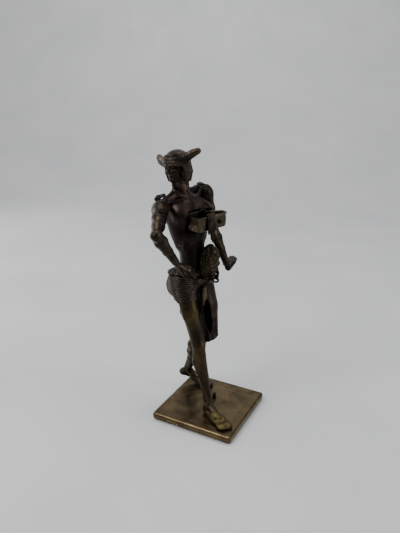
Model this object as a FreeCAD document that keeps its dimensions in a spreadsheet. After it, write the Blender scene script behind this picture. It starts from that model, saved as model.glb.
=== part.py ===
import FreeCAD, Part

import math
import os

from FreeCAD import Placement, Rotation, Vector

# A bronze statuette: a striding figure in a horned cap on a square plate.
# Millimetres, +Z up. The origin is the centre of the felt's underside, and
# the plate's edges run along X and Y. Each casting is a node of its own.
# Body frames point local X forwards, local Y to the figure's left, Z up.

SIZES = {
    # plate, felt and fixings
    "plate_side": 85.0, "plate_thick": 7.4, "plate_round": 1.8,
    "felt_thick": 0.6, "felt_margin": 2.5, "felt_corner": 3.0,
    "screw_shaft": 4.0, "screw_head": 7.0, "screw_head_thick": 2.4, "screw_bite": 5.0,
    "socket_wide": 2.5, "socket_deep": 1.4,
    "washer_wide": 8.4, "washer_thick": 0.8, "bore_gap": 0.2,
    "peg_wide": 2.6, "peg_tall": 4.2, "peg_bite": 2.0, "peg_x": 0.4, "peg_y": 9.6,
    # legs
    "thigh_long": 63.5, "shin_long": 61.2, "knee_slack": 0.6,
    "ankle_tall": 11.0, "heel_lift": 7.0,
    "right_ankle_x": 8.0, "right_ankle_y": -18.2, "right_foot_turn": 61.0,
    "left_ankle_x": -37.5, "left_ankle_y": 22.5, "left_foot_turn": 108.0,
    "foot_wide": 13.5, "right_ball_out": 19.0, "left_ball_out": 14.4, "heel_out": 4.2,
    "toe_wide": 3.0, "toe_long": 12.0, "toe_out": 7.0,
    "thigh_top_wide": 21.0, "thigh_top_deep": 21.0, "thigh_mid_wide": 18.5, "thigh_mid_deep": 18.0,
    "thigh_low_wide": 14.5, "thigh_low_deep": 14.0, "knee_wide": 14.0, "knee_deep": 13.6,
    "calf_wide": 15.5, "calf_deep": 14.0, "shin_low_wide": 10.0, "shin_low_deep": 9.4,
    "ankle_wide": 9.0, "ankle_deep": 8.6,
    # hips
    "pelvis_x": -25.0, "pelvis_y": 4.0, "hips_turn": 84.0, "hip_half": 11.5, "hip_drop": 9.0,
    "hips_low_wide": 43.6, "hips_low_deep": 23.0, "hips_mid_wide": 44.0, "hips_mid_deep": 30.0,
    "hips_top_wide": 33.0, "hips_top_deep": 24.0, "seat_out": 5.0, "seat_round": 10.5,
    # torso
    "waist_rise": 25.0, "waist_forward": 5.1, "waist_left": -0.5, "chest_turn": 74.0,
    "waist_wide": 19.6, "waist_deep": 17.4, "ribs_wide": 33.0, "ribs_deep": 24.0,
    "chest_wide": 48.0, "chest_deep": 30.0, "yoke_wide": 50.0, "yoke_deep": 24.0,
    "collar_wide": 31.0, "collar_deep": 18.0, "neck_wide": 15.5, "neck_deep": 14.6,
    "ribs_rise": 14.0, "chest_rise": 30.0, "yoke_rise": 49.5, "collar_rise": 56.5, "neck_rise": 61.0,
    "chest_back": 7.5, "neck_back": 11.1, "neck_left": -3.9,
    "collar_back": 9.9,
    # head, cap and horns
    "head_turn": -12.0, "head_roll": 8.0, "head_rise": 21.5, "head_out": 1.6, "head_side": -1.2,
    "skull_wide": 20.0, "skull_long": 25.0,
    "skull_tall": 27.0, "chin_drop": 8.0, "cap_thick": 2.2, "cap_drop": 0.5, "curl_wide": 4.4,
    "lappet_wide": 6.0, "lappet_thick": 4.0, "lappet_long": 22.0,
    "horn_root": 8.0, "horn_tip": 6.2, "horn_sweep": 3.0, "horn_up": 4.0,
    "right_horn_out": 23.0, "right_horn_up": 10.5, "left_horn_out": 24.5, "left_horn_up": 14.5,
    # arms
    "shoulder_half": 28.25, "shoulder_back": 9.6, "shoulder_left": -2.5, "shoulder_rise": 52.3,
    "shoulder_tip": 3.5, "shoulder_seat": 4.5, "deltoid_wide": 16.6, "deltoid_deep": 16.0, "deltoid_tall": 19.0,
    "upper_arm_long": 39.0, "forearm_long": 42.3, "left_arm_slack": 0.6,
    "right_wrist_forward": 13.1, "right_wrist_left": -31.8, "right_wrist_up": 0.1,
    "arm_top_wide": 9.0, "arm_top_deep": 8.4, "upper_arm_wide": 13.0, "upper_arm_deep": 12.4,
    "elbow_wide": 10.2, "elbow_deep": 9.8, "elbow_low_wide": 9.8, "elbow_low_deep": 9.2,
    "forearm_wide": 11.6, "forearm_deep": 10.6,
    "wrist_wide": 7.0, "wrist_deep": 5.6, "wrist_low_wide": 6.6, "wrist_low_deep": 5.2,
    "palm_wide": 9.4, "palm_deep": 4.8, "hand_long": 12.0,
    "fingers_wide": 8.4, "fingers_deep": 3.4, "fingertip_wide": 5.6, "fingertip_deep": 2.2,
    "finger_long": 12.5,
    # chest tray
    "tray_wide": 27.0, "tray_deep": 24.0, "tray_tall": 12.0, "tray_wall": 1.6, "tray_left": 3.0,
    "tray_front": 18.0, "tray_rim_up": 40.0, "wing_left": 29.0, "wing_deep": 9.0, "wing_root": 18.0,
    "wing_round": 4.0, "tray_gap": 0.5, "tray_travel": 6.0, "slot_head": 4.0,
    "cloth_wide": 9.0, "cloth_thick": 1.2, "cloth_drop": 25.0, "cloth_tail": 7.0, "cloth_left": 6.0,
    "knob_wide": 3.2, "knob_stands": 3.0, "knob_left": 17.5, "knob_shaft": 1.6,
    # belly ornament, wrap and sash
    "shell_wide": 23.0, "shell_tall": 36.0, "shell_deep": 12.0, "shell_forward": 15.5,
    "shell_left": 4.6, "shell_down": 5.0, "ring_wide": 6.6, "ring_wire": 1.7,
    "ring_forward": 18.0, "ring_left": 12.4, "ring_down": 24.0,
    "wrap_thick": 2.2, "wrap_up": 9.0, "wrap_down": 17.0, "girdle_tall": 3.2, "girdle_thick": 1.6,
    "tassel_wide": 6.0, "tassel_long": 14.0, "tassel_forward": 16.6, "tassel_down": 9.0,
    "sash_start": 0.14, "sash_gap": 0.3, "sash_thick": 1.5, "sash_turn": 45.0, "opening_deep": 9.0,
    "long_opening_down": 40.0, "long_opening_left": -3.0, "long_opening_long": 32.0, "long_opening_wide": 7.0,
    "short_opening_down": 31.0, "short_opening_left": 5.0, "short_opening_long": 20.0,
    "short_opening_wide": 4.6,
    # hidden pins that hold the castings together
    "pin_wide": 3.0, "pin_long": 12.0, "pin_gap": 0.1,
}

doc = FreeCAD.newDocument("Statuette")
sheet = doc.addObject("Spreadsheet::Sheet", "Sizes")
for row, (alias, value) in enumerate(SIZES.items(), start=1):
    sheet.set("A%d" % row, alias)
    sheet.set("B%d" % row, str(value))
    sheet.setAlias("B%d" % row, alias)
doc.recompute()

NODES = {}
UP = Vector(0, 0, 1)


def size(alias):
    return float(sheet.get(alias))


def unit(vector):
    return Vector(vector).normalize()


def add(kind, name, place=None, **bound):
    """Add one feature, bind its sizes to sheet expressions and place it."""
    feature = doc.addObject(kind, name)
    for prop, expression in bound.items():
        feature.setExpression(prop, expression.replace("$", "Sizes."))
    if place is not None:
        feature.Placement = place
    return feature


def node(name, feature):
    """Make a finished feature a sub-part with a label of its own."""
    feature.Label = name
    NODES[name] = feature
    return feature


def facing(point, along, across=None):
    """A placement whose Z runs along a direction and X across it."""
    along = unit(along)
    across = Vector(across) if across is not None else Vector(1, 0, 0)
    if abs(unit(across).dot(along)) > 0.98:
        across = Vector(0, 1, 0)
    return Placement(point, Rotation(across, Vector(), along, "ZXY"))


def fuse(name, shapes):
    joined = doc.addObject("Part::MultiFuse", name)
    joined.Shapes = shapes
    return joined


def cut(name, base, tools):
    """Cut tools from a base one after another, and return the last cut."""
    for step, tool in enumerate(tools):
        trimmed = doc.addObject("Part::Cut", "%s_less_%d" % (name, step))
        trimmed.Base = base
        trimmed.Tool = tool
        base = trimmed
    return base


def loft(name, stations):
    """A solid through ellipses: (size key, centre, normal, wide direction)."""
    rings = []
    for key, centre, normal, wide in stations:
        ring = add("Part::Ellipse", "%s_%s" % (name, key), facing(centre, normal, wide),
                   MajorRadius="$%s_wide / 2" % key, MinorRadius="$%s_deep / 2" % key)
        rings.append(ring)
    skin = doc.addObject("Part::Loft", name)
    skin.Sections = rings
    skin.Solid = True
    return skin


def tube(name, stations):
    """A solid of round sections: (diameter expression, centre, normal)."""
    rings = []
    for step, (diameter, centre, normal) in enumerate(stations):
        ring = add("Part::Circle", "%s_ring_%d" % (name, step), facing(centre, normal),
                   Radius="(%s) / 2" % diameter)
        rings.append(ring)
    skin = doc.addObject("Part::Loft", name)
    skin.Sections = rings
    skin.Solid = True
    return skin


def egg(name, place, deep, wide, tall):
    """An ellipsoid whose full sizes are deep (X), wide (Y) and tall (Z)."""
    return add("Part::Ellipsoid", name, place, Radius2="(%s) / 2" % deep,
               Radius3="(%s) / 2" % wide, Radius1="(%s) / 2" % tall)


def rod(name, middle, along, diameter, length):
    """A cylinder centred on a point."""
    start = middle - unit(along) * (length[1] / 2)
    return add("Part::Cylinder", name, facing(start, along), Radius="(%s) / 2" % diameter, Height=length[0])


class Body:
    """A frame at a point: local X faces an azimuth from -Y towards +X, and roll lifts local Y."""

    def __init__(self, origin, turn, roll=0.0):
        self.origin = Vector(origin)
        self.rotation = Rotation(UP, turn - 90.0).multiply(Rotation(Vector(1, 0, 0), roll))

    def at(self, forward, left, up):
        return self.origin + self.rotation.multVec(Vector(forward, left, up))

    def way(self, forward, left, up):
        return self.rotation.multVec(Vector(forward, left, up))

    def place(self, forward, left, up):
        return Placement(self.at(forward, left, up), self.rotation)


def elbow_of(root, end, upper, lower, pole):
    """The middle joint of two bones, bent towards a pole direction."""
    reach = (end - root).Length
    line = unit(end - root)
    along = (upper ** 2 - lower ** 2 + reach ** 2) / (2 * reach)
    out = math.sqrt(max(upper ** 2 - along ** 2, 0.0))
    side = unit(pole - line * pole.dot(line))
    return root + line * along + side * out


def between(a, b, share):
    return a + (b - a) * share


# ---------------------------------------------------------------- skeleton

plate_top = size("felt_thick") + size("plate_thick")
right_ankle = Vector(size("right_ankle_x"), size("right_ankle_y"), plate_top + size("ankle_tall"))
left_ankle = Vector(size("left_ankle_x"), size("left_ankle_y"), right_ankle.z + size("heel_lift"))

leg_reach = size("thigh_long") + size("shin_long") - size("knee_slack")
level = Body((size("pelvis_x"), size("pelvis_y"), 0), size("hips_turn"))
stride = level.at(0, -size("hip_half"), right_ankle.z) - right_ankle
hip_height = right_ankle.z + math.sqrt(leg_reach ** 2 - stride.Length ** 2)

hips_frame = Body((size("pelvis_x"), size("pelvis_y"), hip_height), size("hips_turn"))
right_hip = hips_frame.at(0, -size("hip_half"), 0)
left_hip = hips_frame.at(0, size("hip_half"), 0)
right_knee = elbow_of(right_hip, right_ankle, size("thigh_long"), size("shin_long"), hips_frame.way(1, 0, 0))
left_knee = elbow_of(left_hip, left_ankle, size("thigh_long"), size("shin_long"),
                     hips_frame.way(0.92, -0.38, 0))

waist = hips_frame.at(size("waist_forward"), size("waist_left"), size("waist_rise"))
chest_frame = Body(waist, size("chest_turn"))
neck = chest_frame.at(-size("neck_back"), size("neck_left"), size("neck_rise"))
head = Body(neck, size("head_turn")).at(size("head_out"), size("head_side"), size("head_rise"))
head_frame = Body(head, size("head_turn"), size("head_roll"))


def shoulder(side):
    return chest_frame.at(-size("shoulder_back"), size("shoulder_left") + side * size("shoulder_half"),
                          size("shoulder_rise") + side * size("shoulder_tip"))


right_shoulder = shoulder(-1)
left_shoulder = shoulder(1)
right_wrist = chest_frame.at(size("right_wrist_forward"), size("right_wrist_left"), size("right_wrist_up"))
right_elbow = elbow_of(right_shoulder, right_wrist, size("upper_arm_long"), size("forearm_long"),
                       Vector(0.15, -0.95, 0.3))
left_reach = size("upper_arm_long") + size("forearm_long") - size("left_arm_slack")
left_wrist = left_shoulder + unit(Vector(0.265, 0.132, -0.955)) * left_reach
left_elbow = elbow_of(left_shoulder, left_wrist, size("upper_arm_long"), size("forearm_long"),
                      Vector(-1.0, 0.3, 0))

# ------------------------------------------------------------ plate and fixings

right_foot = Body((right_ankle.x, right_ankle.y, plate_top), size("right_foot_turn"))
left_foot = Body((left_ankle.x, left_ankle.y, plate_top), size("left_foot_turn"))
screw_points = [right_foot.at(3.0, 0, 0), left_foot.at(15.0, 0, 0)]
screw_points = [Vector(point.x, point.y, 0) for point in screw_points]

felt_box = add("Part::Box", "felt_box", Placement(Vector(1, 1, 0) * (size("felt_margin") - size("plate_side") / 2),
                                                  Rotation()),
               Length="$plate_side - 2 * $felt_margin", Width="$plate_side - 2 * $felt_margin",
               Height="$felt_thick")
doc.recompute()


def rounded(name, box, picks):
    """Round the edges of a box that a test picks: (test, radius) pairs."""
    feature = doc.addObject("Part::Fillet", name)
    feature.Base = box
    edges = []
    for number, edge in enumerate(box.Shape.Edges, start=1):
        for test, radius in picks:
            if test(edge):
                edges.append((number, radius, radius))
                break
    feature.Edges = edges
    return feature


def upright(edge):
    return abs(edge.tangentAt(edge.FirstParameter).z) > 0.9


def on_top(edge):
    return edge.BoundBox.ZMin > plate_top - 0.01


node("felt_pad", rounded("felt_round", felt_box, [(upright, size("felt_corner"))]))

plate_box = add("Part::Box", "plate_box",
                Placement(Vector(-size("plate_side") / 2, -size("plate_side") / 2, size("felt_thick")), Rotation()),
                Length="$plate_side", Width="$plate_side", Height="$plate_thick")
doc.recompute()
plate_body = rounded("plate_body", plate_box, [(upright, size("plate_round")), (on_top, size("plate_round"))])
recess = size("screw_head_thick") + size("washer_thick") + 0.2
bores = []
screws = []
washers = []
for count, point in enumerate(screw_points):
    under = point + UP * size("felt_thick")
    seat = under + UP * recess
    bores.append(add("Part::Cylinder", "counterbore_%d" % count, Placement(under, Rotation()),
                     Radius="$washer_wide / 2 + $bore_gap", Height="%f" % recess))
    bores.append(add("Part::Cylinder", "screw_bore_%d" % count, Placement(under, Rotation()),
                     Radius="$screw_shaft / 2 + $bore_gap", Height="$plate_thick"))
    ring = add("Part::Cylinder", "washer_disc_%d" % count,
               Placement(seat - UP * size("washer_thick"), Rotation()), Radius="$washer_wide / 2",
               Height="$washer_thick")
    eye = add("Part::Cylinder", "washer_eye_%d" % count,
              Placement(seat - UP * size("washer_thick"), Rotation()), Radius="$screw_shaft / 2 + $bore_gap",
              Height="$washer_thick")
    washers.append(cut("washer_%d" % count, ring, [eye]))
    top = seat - UP * size("washer_thick")
    shaft = add("Part::Cylinder", "screw_shaft_%d" % count, Placement(top, Rotation()),
                Radius="$screw_shaft / 2",
                Height="%f + $screw_bite" % (plate_top - top.z))
    cap = add("Part::Cylinder", "screw_cap_%d" % count, Placement(top - UP * size("screw_head_thick"), Rotation()),
              Radius="$screw_head / 2", Height="$screw_head_thick")
    socket = add("Part::Prism", "screw_socket_%d" % count,
                 Placement(top - UP * size("screw_head_thick"), Rotation()),
                 Circumradius="$socket_wide / 1.732", Height="$socket_deep")
    screws.append(cut("screw_%d" % count, fuse("screw_blank_%d" % count, [shaft, cap]), [socket]))
peg_hole = add("Part::Cylinder", "peg_hole",
               Placement(Vector(size("peg_x"), size("peg_y"), plate_top - size("peg_bite")), Rotation()),
               Radius="$peg_wide / 2 + $pin_gap", Height="$peg_bite")
node("base_plate", cut("plate", plate_body, bores + [peg_hole]))
node("foot_screws", fuse("screw_pair", screws))
node("screw_washers", fuse("washer_pair", washers))

peg_stem = add("Part::Cylinder", "peg_stem",
               Placement(Vector(size("peg_x"), size("peg_y"), plate_top - size("peg_bite")), Rotation()),
               Radius="$peg_wide / 2", Height="$peg_bite + $peg_tall - $peg_wide / 2")
peg_dome = add("Part::Sphere", "peg_dome",
               Placement(Vector(size("peg_x"), size("peg_y"), plate_top + size("peg_tall") - size("peg_wide") / 2),
                         Rotation()), Radius="$peg_wide / 2")
node("plate_peg", fuse("peg", [peg_stem, peg_dome]))

# ----------------------------------------------------------------- hidden pins


def pin(name, middle, along):
    """A dowel and the bore it sits in, half in each of two castings."""
    dowel = rod(name, middle, along, "$pin_wide", ("$pin_long", size("pin_long")))
    bore = rod(name + "_bore", middle, along, "$pin_wide + 2 * $pin_gap",
               ("$pin_long + 2 * $pin_gap", size("pin_long") + 2 * size("pin_gap")))
    return dowel, bore


hip_cut = hip_height - size("hip_drop")


def on_hip_cut(hip, knee):
    return hip + (knee - hip) * ((hip.z - hip_cut) / (hip.z - knee.z))


right_thigh_top = on_hip_cut(right_hip, right_knee)
left_thigh_top = on_hip_cut(left_hip, left_knee)
right_hip_pin, right_hip_bore = pin("right_hip_dowel", right_thigh_top, right_knee - right_hip)
left_hip_pin, left_hip_bore = pin("left_hip_dowel", left_thigh_top, left_knee - left_hip)
waist_dowel, waist_bore = pin("waist_dowel", waist, UP)
neck_dowel, neck_bore = pin("neck_dowel", neck, UP)
arm_side = unit(left_shoulder - right_shoulder)
arm_seat = arm_side * size("shoulder_seat")
right_arm_pin, right_arm_bore = pin("right_arm_dowel", right_shoulder + arm_seat, arm_side)
left_arm_pin, left_arm_bore = pin("left_arm_dowel", left_shoulder - arm_seat, arm_side)
node("hip_pins", fuse("hip_dowels", [right_hip_pin, left_hip_pin]))
node("waist_pin", waist_dowel)
node("neck_pin", neck_dowel)
node("shoulder_pins", fuse("shoulder_dowels", [right_arm_pin, left_arm_pin]))

# ------------------------------------------------------------------------ legs

under_plate = add("Part::Box", "under_plate",
                  Placement(Vector(-200, -200, plate_top - 100), Rotation()))
under_plate.Length = 400
under_plate.Width = 400
under_plate.Height = 100


heel_half = size("foot_wide") * 0.36
toe_curve = 0.6
toe_sink = 0.2


def leg(name, hip_top, knee, ankle, frame, ball, heel_at, screw_at, bore):
    """A thigh, shin and foot in one casting, flat where it meets the plate."""
    thigh = knee - hip_top
    shin = ankle - knee
    wide = frame.way(0, 1, 0)
    limb = loft(name + "_limb", [
        ("thigh_top", hip_top, UP * -1, wide),
        ("thigh_mid", between(hip_top, knee, 0.42), thigh, wide),
        ("thigh_low", between(hip_top, knee, 0.82), thigh, wide),
        ("knee", knee, thigh + shin, wide),
        ("calf", between(knee, ankle, 0.34) - frame.way(1.6, 0, 0), shin, wide),
        ("shin_low", between(knee, ankle, 0.78), shin, wide),
        ("ankle", ankle, shin, wide)])
    along = unit(ball - heel_at)
    sole = tube(name + "_foot", [
        ("$foot_wide * 0.45", heel_at - along * 1.2, along),
        ("$foot_wide * 0.72", heel_at + along * 2.5, along),
        ("$foot_wide * 0.84", between(heel_at, ball, 0.5) + UP * 1.5, along),
        ("$foot_wide * 0.76", ball, along),
        ("$foot_wide * 0.50", ball + along * 3.0 - UP * 0.6, along)])
    ankle_ball = egg(name + "_ankle", Placement(ankle, Rotation()), "$ankle_wide * 1.12",
                     "$ankle_wide * 1.12", "$ankle_wide * 1.5")
    toes = []
    spread = frame.way(0, 1, 0)
    for count in range(5):
        offset = (count - 2) * (size("foot_wide") - size("toe_wide")) / 4
        root = ball + frame.way(size("toe_out") - toe_curve * abs(count - 2), 0, 0) + spread * offset
        root = Vector(root.x, root.y, plate_top + size("toe_wide") / 2 - toe_sink)
        toes.append(egg("%s_toe_%d" % (name, count), Placement(root, frame.rotation), "$toe_long", "$toe_wide",
                        "$toe_wide"))
    blank = fuse(name + "_blank", [limb, ankle_ball, sole] + toes)
    thread = add("Part::Cylinder", name + "_thread",
                 Placement(Vector(screw_at.x, screw_at.y, plate_top), Rotation()),
                 Radius="$screw_shaft / 2 + $pin_gap", Height="$screw_bite + $pin_gap")
    return node(name, cut(name, blank, [under_plate, thread, bore]))


right_leg = leg("right_leg", right_thigh_top, right_knee, right_ankle, right_foot,
                right_foot.at(size("right_ball_out"), 0, heel_half * 0.9),
                right_foot.at(-size("heel_out"), 0, heel_half), screw_points[0], right_hip_bore)
left_leg = leg("left_leg", left_thigh_top, left_knee, left_ankle, left_foot,
               left_foot.at(size("left_ball_out"), 0, heel_half * 0.9),
               left_foot.at(-size("heel_out"), 0, size("heel_lift") + heel_half), screw_points[1], left_hip_bore)

# ------------------------------------------------------------------------ hips

side_way = hips_frame.way(0, 1, 0)
hips_core = loft("hips_core", [
    ("hips_low", hips_frame.at(0.3, 0, -size("hip_drop")), UP, side_way),
    ("hips_mid", hips_frame.at(-0.6, 0, 4.0), UP, side_way),
    ("hips_top", hips_frame.at(2.6, -0.2, 15.0), UP, side_way),
    ("waist", waist, UP, side_way)])
seats = []
for side in (-1, 1):
    seats.append(egg("seat_%s" % ("left" if side > 0 else "right"),
                     hips_frame.place(-size("seat_out") * 1.4, side * size("hip_half") * 0.9, -1.0),
                     "$seat_round * 2", "$seat_round * 2", "$seat_round * 1.8"))
below_hips = add("Part::Box", "below_hips", Placement(Vector(-200, -200, hip_cut - 100), Rotation()))
below_hips.Length = 400
below_hips.Width = 400
below_hips.Height = 100
hips = node("hips", cut("hips", fuse("hips_blank", [hips_core] + seats),
                        [below_hips, right_hip_bore, left_hip_bore, waist_bore]))

# ----------------------------------------------------------------------- torso

chest_side = chest_frame.way(0, 1, 0)
shoulder_line = left_shoulder - right_shoulder
shoulder_up = chest_frame.way(1, 0, 0).cross(shoulder_line)
torso_core = loft("torso_core", [
    ("waist", waist, UP, chest_side),
    ("ribs", chest_frame.at(-4.0, 0.5, size("ribs_rise")), UP, chest_side),
    ("chest", chest_frame.at(-size("chest_back"), 0.9, size("chest_rise")), UP, chest_side),
    ("yoke", chest_frame.at(-size("collar_back"), size("shoulder_left"), size("yoke_rise")), shoulder_up,
     shoulder_line),
    ("collar", chest_frame.at(-size("collar_back"), size("neck_left"), size("collar_rise")), UP, chest_side),
    ("neck", neck, UP, chest_side)])

tray_floor = size("tray_rim_up") - size("tray_tall")
tray_back = size("tray_front") - size("tray_deep")
tray_right = size("tray_left") - size("tray_wide") / 2
tray_mid_left = size("tray_left") + size("tray_wide") / 2
slot = add("Part::Box", "tray_slot",
           chest_frame.place(tray_back - size("tray_travel") - size("tray_gap"),
                             size("tray_left") - size("tray_wide") / 2 - size("tray_gap"),
                             tray_floor - size("tray_gap")),
           Length="$tray_deep + $tray_travel + 20", Width="$tray_wide + 2 * $tray_gap",
           Height="$tray_tall + $slot_head + $tray_gap")
wing_room = add("Part::Box", "wing_room",
                chest_frame.place(size("tray_front") - size("wing_root") - size("tray_travel")
                                  - 2 * size("tray_gap"), tray_right - 2 * size("tray_gap"), tray_floor - 2 * size("tray_gap")),
                Length="$tray_deep + $tray_travel", Width="$wing_left + $tray_wide",
                Height="$tray_tall + $slot_head + 2 * $tray_gap")
torso = node("torso", cut("torso", torso_core, [slot, wing_room, waist_bore, neck_bore,
                                                right_arm_bore, left_arm_bore]))

# ------------------------------------------------------------------ chest tray

def tray_form(name, wall):
    """The tray as a solid: a box with a wing to the left, inset and raised by a wall."""
    tall = "$tray_tall - %f" % wall if wall else "$tray_tall"
    middle = add("Part::Box", name + "_middle",
                 chest_frame.place(tray_back + wall, tray_right + wall, tray_floor + wall),
                 Length="$tray_deep - %f" % (2 * wall), Width="$tray_wide - %f" % (2 * wall), Height=tall)
    wing = add("Part::Box", name + "_wing",
               chest_frame.place(size("tray_front") - size("wing_root") + wall, tray_mid_left - 2 * wall,
                                 tray_floor + wall),
               Length="$wing_root - %f" % (2 * wall),
               Width="$wing_left - %f" % (tray_mid_left - wall), Height=tall)
    slant = Vector(size("wing_root") - size("wing_deep"), size("wing_left") - tray_mid_left, 0)
    turn = math.degrees(math.atan2(slant.y, slant.x))
    corner = chest_frame.place(size("tray_front") - size("wing_root"), tray_mid_left, tray_floor - 1.0)
    beyond = add("Part::Box", name + "_beyond",
                 corner.multiply(Placement(Vector(), Rotation(UP, turn))).multiply(
                     Placement(Vector(-40, -wall, 0), Rotation())))
    beyond.Length = 100
    beyond.Width = 40
    beyond.Height = 40
    doc.recompute()
    front_left = chest_frame.at(size("tray_front") - wall, size("wing_left") - wall, 0)

    def at_corner(edge):
        middle_point = edge.valueAt((edge.FirstParameter + edge.LastParameter) / 2)
        away = middle_point - front_left
        return upright(edge) and math.hypot(away.x, away.y) < 0.1

    soft = rounded(name + "_soft", wing, [(at_corner, size("wing_round") - wall)])
    return fuse(name, [middle, cut(name + "_slanted", soft, [beyond])])


knob_at = chest_frame.at(size("tray_front"), size("knob_left"), tray_floor + size("tray_tall") * 0.5)
knob_bore = add("Part::Cylinder", "knob_bore",
                facing(knob_at - chest_frame.way(size("tray_wall"), 0, 0), chest_frame.way(1, 0, 0)),
                Radius="$knob_shaft / 2 + $pin_gap", Height="$tray_wall")
tray_blank = cut("tray_shell", tray_form("tray_outer", 0.0), [tray_form("tray_inner", size("tray_wall"))])
chest_tray = node("chest_tray", cut("chest_tray", tray_blank, [knob_bore]))
knob_stem = add("Part::Cylinder", "knob_stem",
                facing(knob_at - chest_frame.way(size("tray_wall"), 0, 0), chest_frame.way(1, 0, 0)),
                Radius="$knob_shaft / 2", Height="$tray_wall + $knob_stands / 2")
knob_ball = egg("knob_ball", Placement(knob_at + chest_frame.way(size("knob_stands") * 0.55, 0, 0),
                                       chest_frame.rotation), "$knob_stands", "$knob_wide", "$knob_wide")
node("tray_knob", fuse("knob", [knob_stem, knob_ball]))

cloth_front = add("Part::Box", "cloth_front",
                  chest_frame.place(size("tray_front"), size("cloth_left") - size("cloth_wide") / 2,
                                    size("tray_rim_up") + size("cloth_thick") - size("cloth_drop")),
                  Length="$cloth_thick", Width="$cloth_wide", Height="$cloth_drop")
cloth_over = add("Part::Box", "cloth_over",
                 chest_frame.place(size("tray_front") - size("tray_wall") - size("cloth_thick"),
                                   size("cloth_left") - size("cloth_wide") / 2, size("tray_rim_up")),
                 Length="$tray_wall + 2 * $cloth_thick", Width="$cloth_wide", Height="$cloth_thick")
cloth_inside = add("Part::Box", "cloth_inside",
                   chest_frame.place(size("tray_front") - size("tray_wall") - size("cloth_thick"),
                                     size("cloth_left") - size("cloth_wide") / 2,
                                     size("tray_rim_up") + size("cloth_thick") - size("cloth_tail")),
                   Length="$cloth_thick", Width="$cloth_wide", Height="$cloth_tail")
node("tray_cloth", fuse("cloth", [cloth_front, cloth_over, cloth_inside]))

# ------------------------------------------------------------------------ head

skull = egg("skull", Placement(head, head_frame.rotation), "$skull_long", "$skull_wide", "$skull_tall")
jaw = egg("jaw", head_frame.place(3.6, 0, -size("chin_drop")),
          "$skull_long * 0.66", "$skull_wide * 0.72", "$skull_tall * 0.5")
throat = tube("throat", [
    ("$neck_deep", neck, UP),
    ("$neck_deep * 0.94", between(neck, head, 0.45), head - neck),
    ("$neck_deep * 0.98", between(neck, head, 0.95), head - neck)])
head_part = node("head", cut("head", fuse("head_blank", [skull, jaw, throat]), [neck_bore]))

cap_outer = egg("cap_outer", head_frame.place(0, 0, 0.6), "$skull_long + 2 * $cap_thick",
                "$skull_wide + 2 * $cap_thick", "$skull_tall + 2 * $cap_thick")
cap_low = add("Part::Box", "cap_low", head_frame.place(-50, -50, -100 - size("cap_drop")))
cap_low.Length = 100
cap_low.Width = 100
cap_low.Height = 100
curls = []
brow_out = size("skull_long") / 2
for count in range(9):
    angle = math.radians(-72 + 18 * count)
    spot = head_frame.at(brow_out * math.cos(angle), size("skull_wide") / 2 * math.sin(angle), 2.6)
    curls.append(add("Part::Sphere", "curl_%d" % count, Placement(spot, Rotation()), Radius="$curl_wide / 2"))
lappets = []
for side in (-1, 1):
    top = head_frame.at(0.5, side * (size("skull_wide") / 2 + 0.6), 1.0)
    lappets.append(egg("lappet_%s" % ("left" if side > 0 else "right"),
                       Placement(top - UP * (size("lappet_long") * 0.42), head_frame.rotation),
                       "$lappet_wide", "$lappet_thick", "$lappet_long"))
cap_blank = fuse("cap_blank", [cut("cap_shell", cap_outer, [cap_low])] + curls + lappets)


def horn(name, side, out, up):
    """A blunt horn from the side of the cap to a tip, level at first and rising at its end."""
    root = head_frame.at(0.5, side * (size("skull_wide") / 2 - 1.6), size("horn_up"))
    tip = head_frame.at(-size("horn_sweep"), side * size(out), size(up))
    rise = unit(unit(tip - root) + head_frame.way(0, 0, 0.35))
    return node(name, cut(name, tube(name + "_blank", [
        ("$horn_root", root, head_frame.way(0, side, 0)),
        ("$horn_root * 0.92", between(root, tip, 0.5), tip - root),
        ("$horn_tip", tip, rise),
        ("$horn_tip * 0.5", tip + rise * (size("horn_tip") * 0.4), rise)]), [cap_outer]))


node("horned_cap", cut("cap", cap_blank, [head_part]))
horn("right_horn", -1, "right_horn_out", "right_horn_up")
horn("left_horn", 1, "left_horn_out", "left_horn_up")

# ------------------------------------------------------------------------ arms


def limb_chain(name, runs, joints, wide):
    """Lofts end to end: where a joint bends sharply the skin stops at a ball and starts again."""
    pieces = []
    stations = list(runs[0])
    for (key, point, incoming, outgoing), run in zip(joints, runs[1:]):
        if unit(incoming).dot(unit(outgoing)) > 0.6:
            stations.append((key, point, unit(incoming) + unit(outgoing), wide))
            stations += run
            continue
        stations.append((key, point, incoming, wide))
        pieces.append(loft("%s_to_%s" % (name, key), stations))
        pieces.append(add("Part::Sphere", "%s_%s_ball" % (name, key), Placement(point, Rotation()),
                          Radius="$%s_wide * 0.58" % key))
        stations = [(key + "_low", point, outgoing, wide)] + list(run)
    pieces.append(loft(name + "_end", stations))
    if len(pieces) == 1:
        return pieces[0]
    return fuse(name + "_blank", pieces)


def arm(name, shoulder_at, elbow, wrist, hand_way, palm_way, bore):
    """A whole arm: shoulder cap and upper arm, elbow, forearm with palm and closed fingers."""
    upper = elbow - shoulder_at
    lower = wrist - elbow
    hand_way = unit(hand_way)
    knuckles = wrist + hand_way * size("hand_long")
    tips = knuckles + hand_way * size("finger_long")
    runs = [
        [("arm_top", shoulder_at - unit(upper) * (size("deltoid_tall") * 0.45), upper, palm_way),
         ("deltoid", shoulder_at, upper, palm_way),
         ("upper_arm", between(shoulder_at, elbow, 0.55), upper, palm_way)],
        [("forearm", between(elbow, wrist, 0.3), lower, palm_way)],
        [("palm", between(wrist, knuckles, 0.65), hand_way, palm_way),
         ("fingers", between(knuckles, tips, 0.45), hand_way, palm_way),
         ("fingertip", tips, hand_way, palm_way)]]
    joints = [("elbow", elbow, upper, lower), ("wrist", wrist, lower, hand_way)]
    blank = limb_chain(name, runs, joints, palm_way)
    return node(name, cut(name, blank, [bore, torso_core]))


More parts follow.
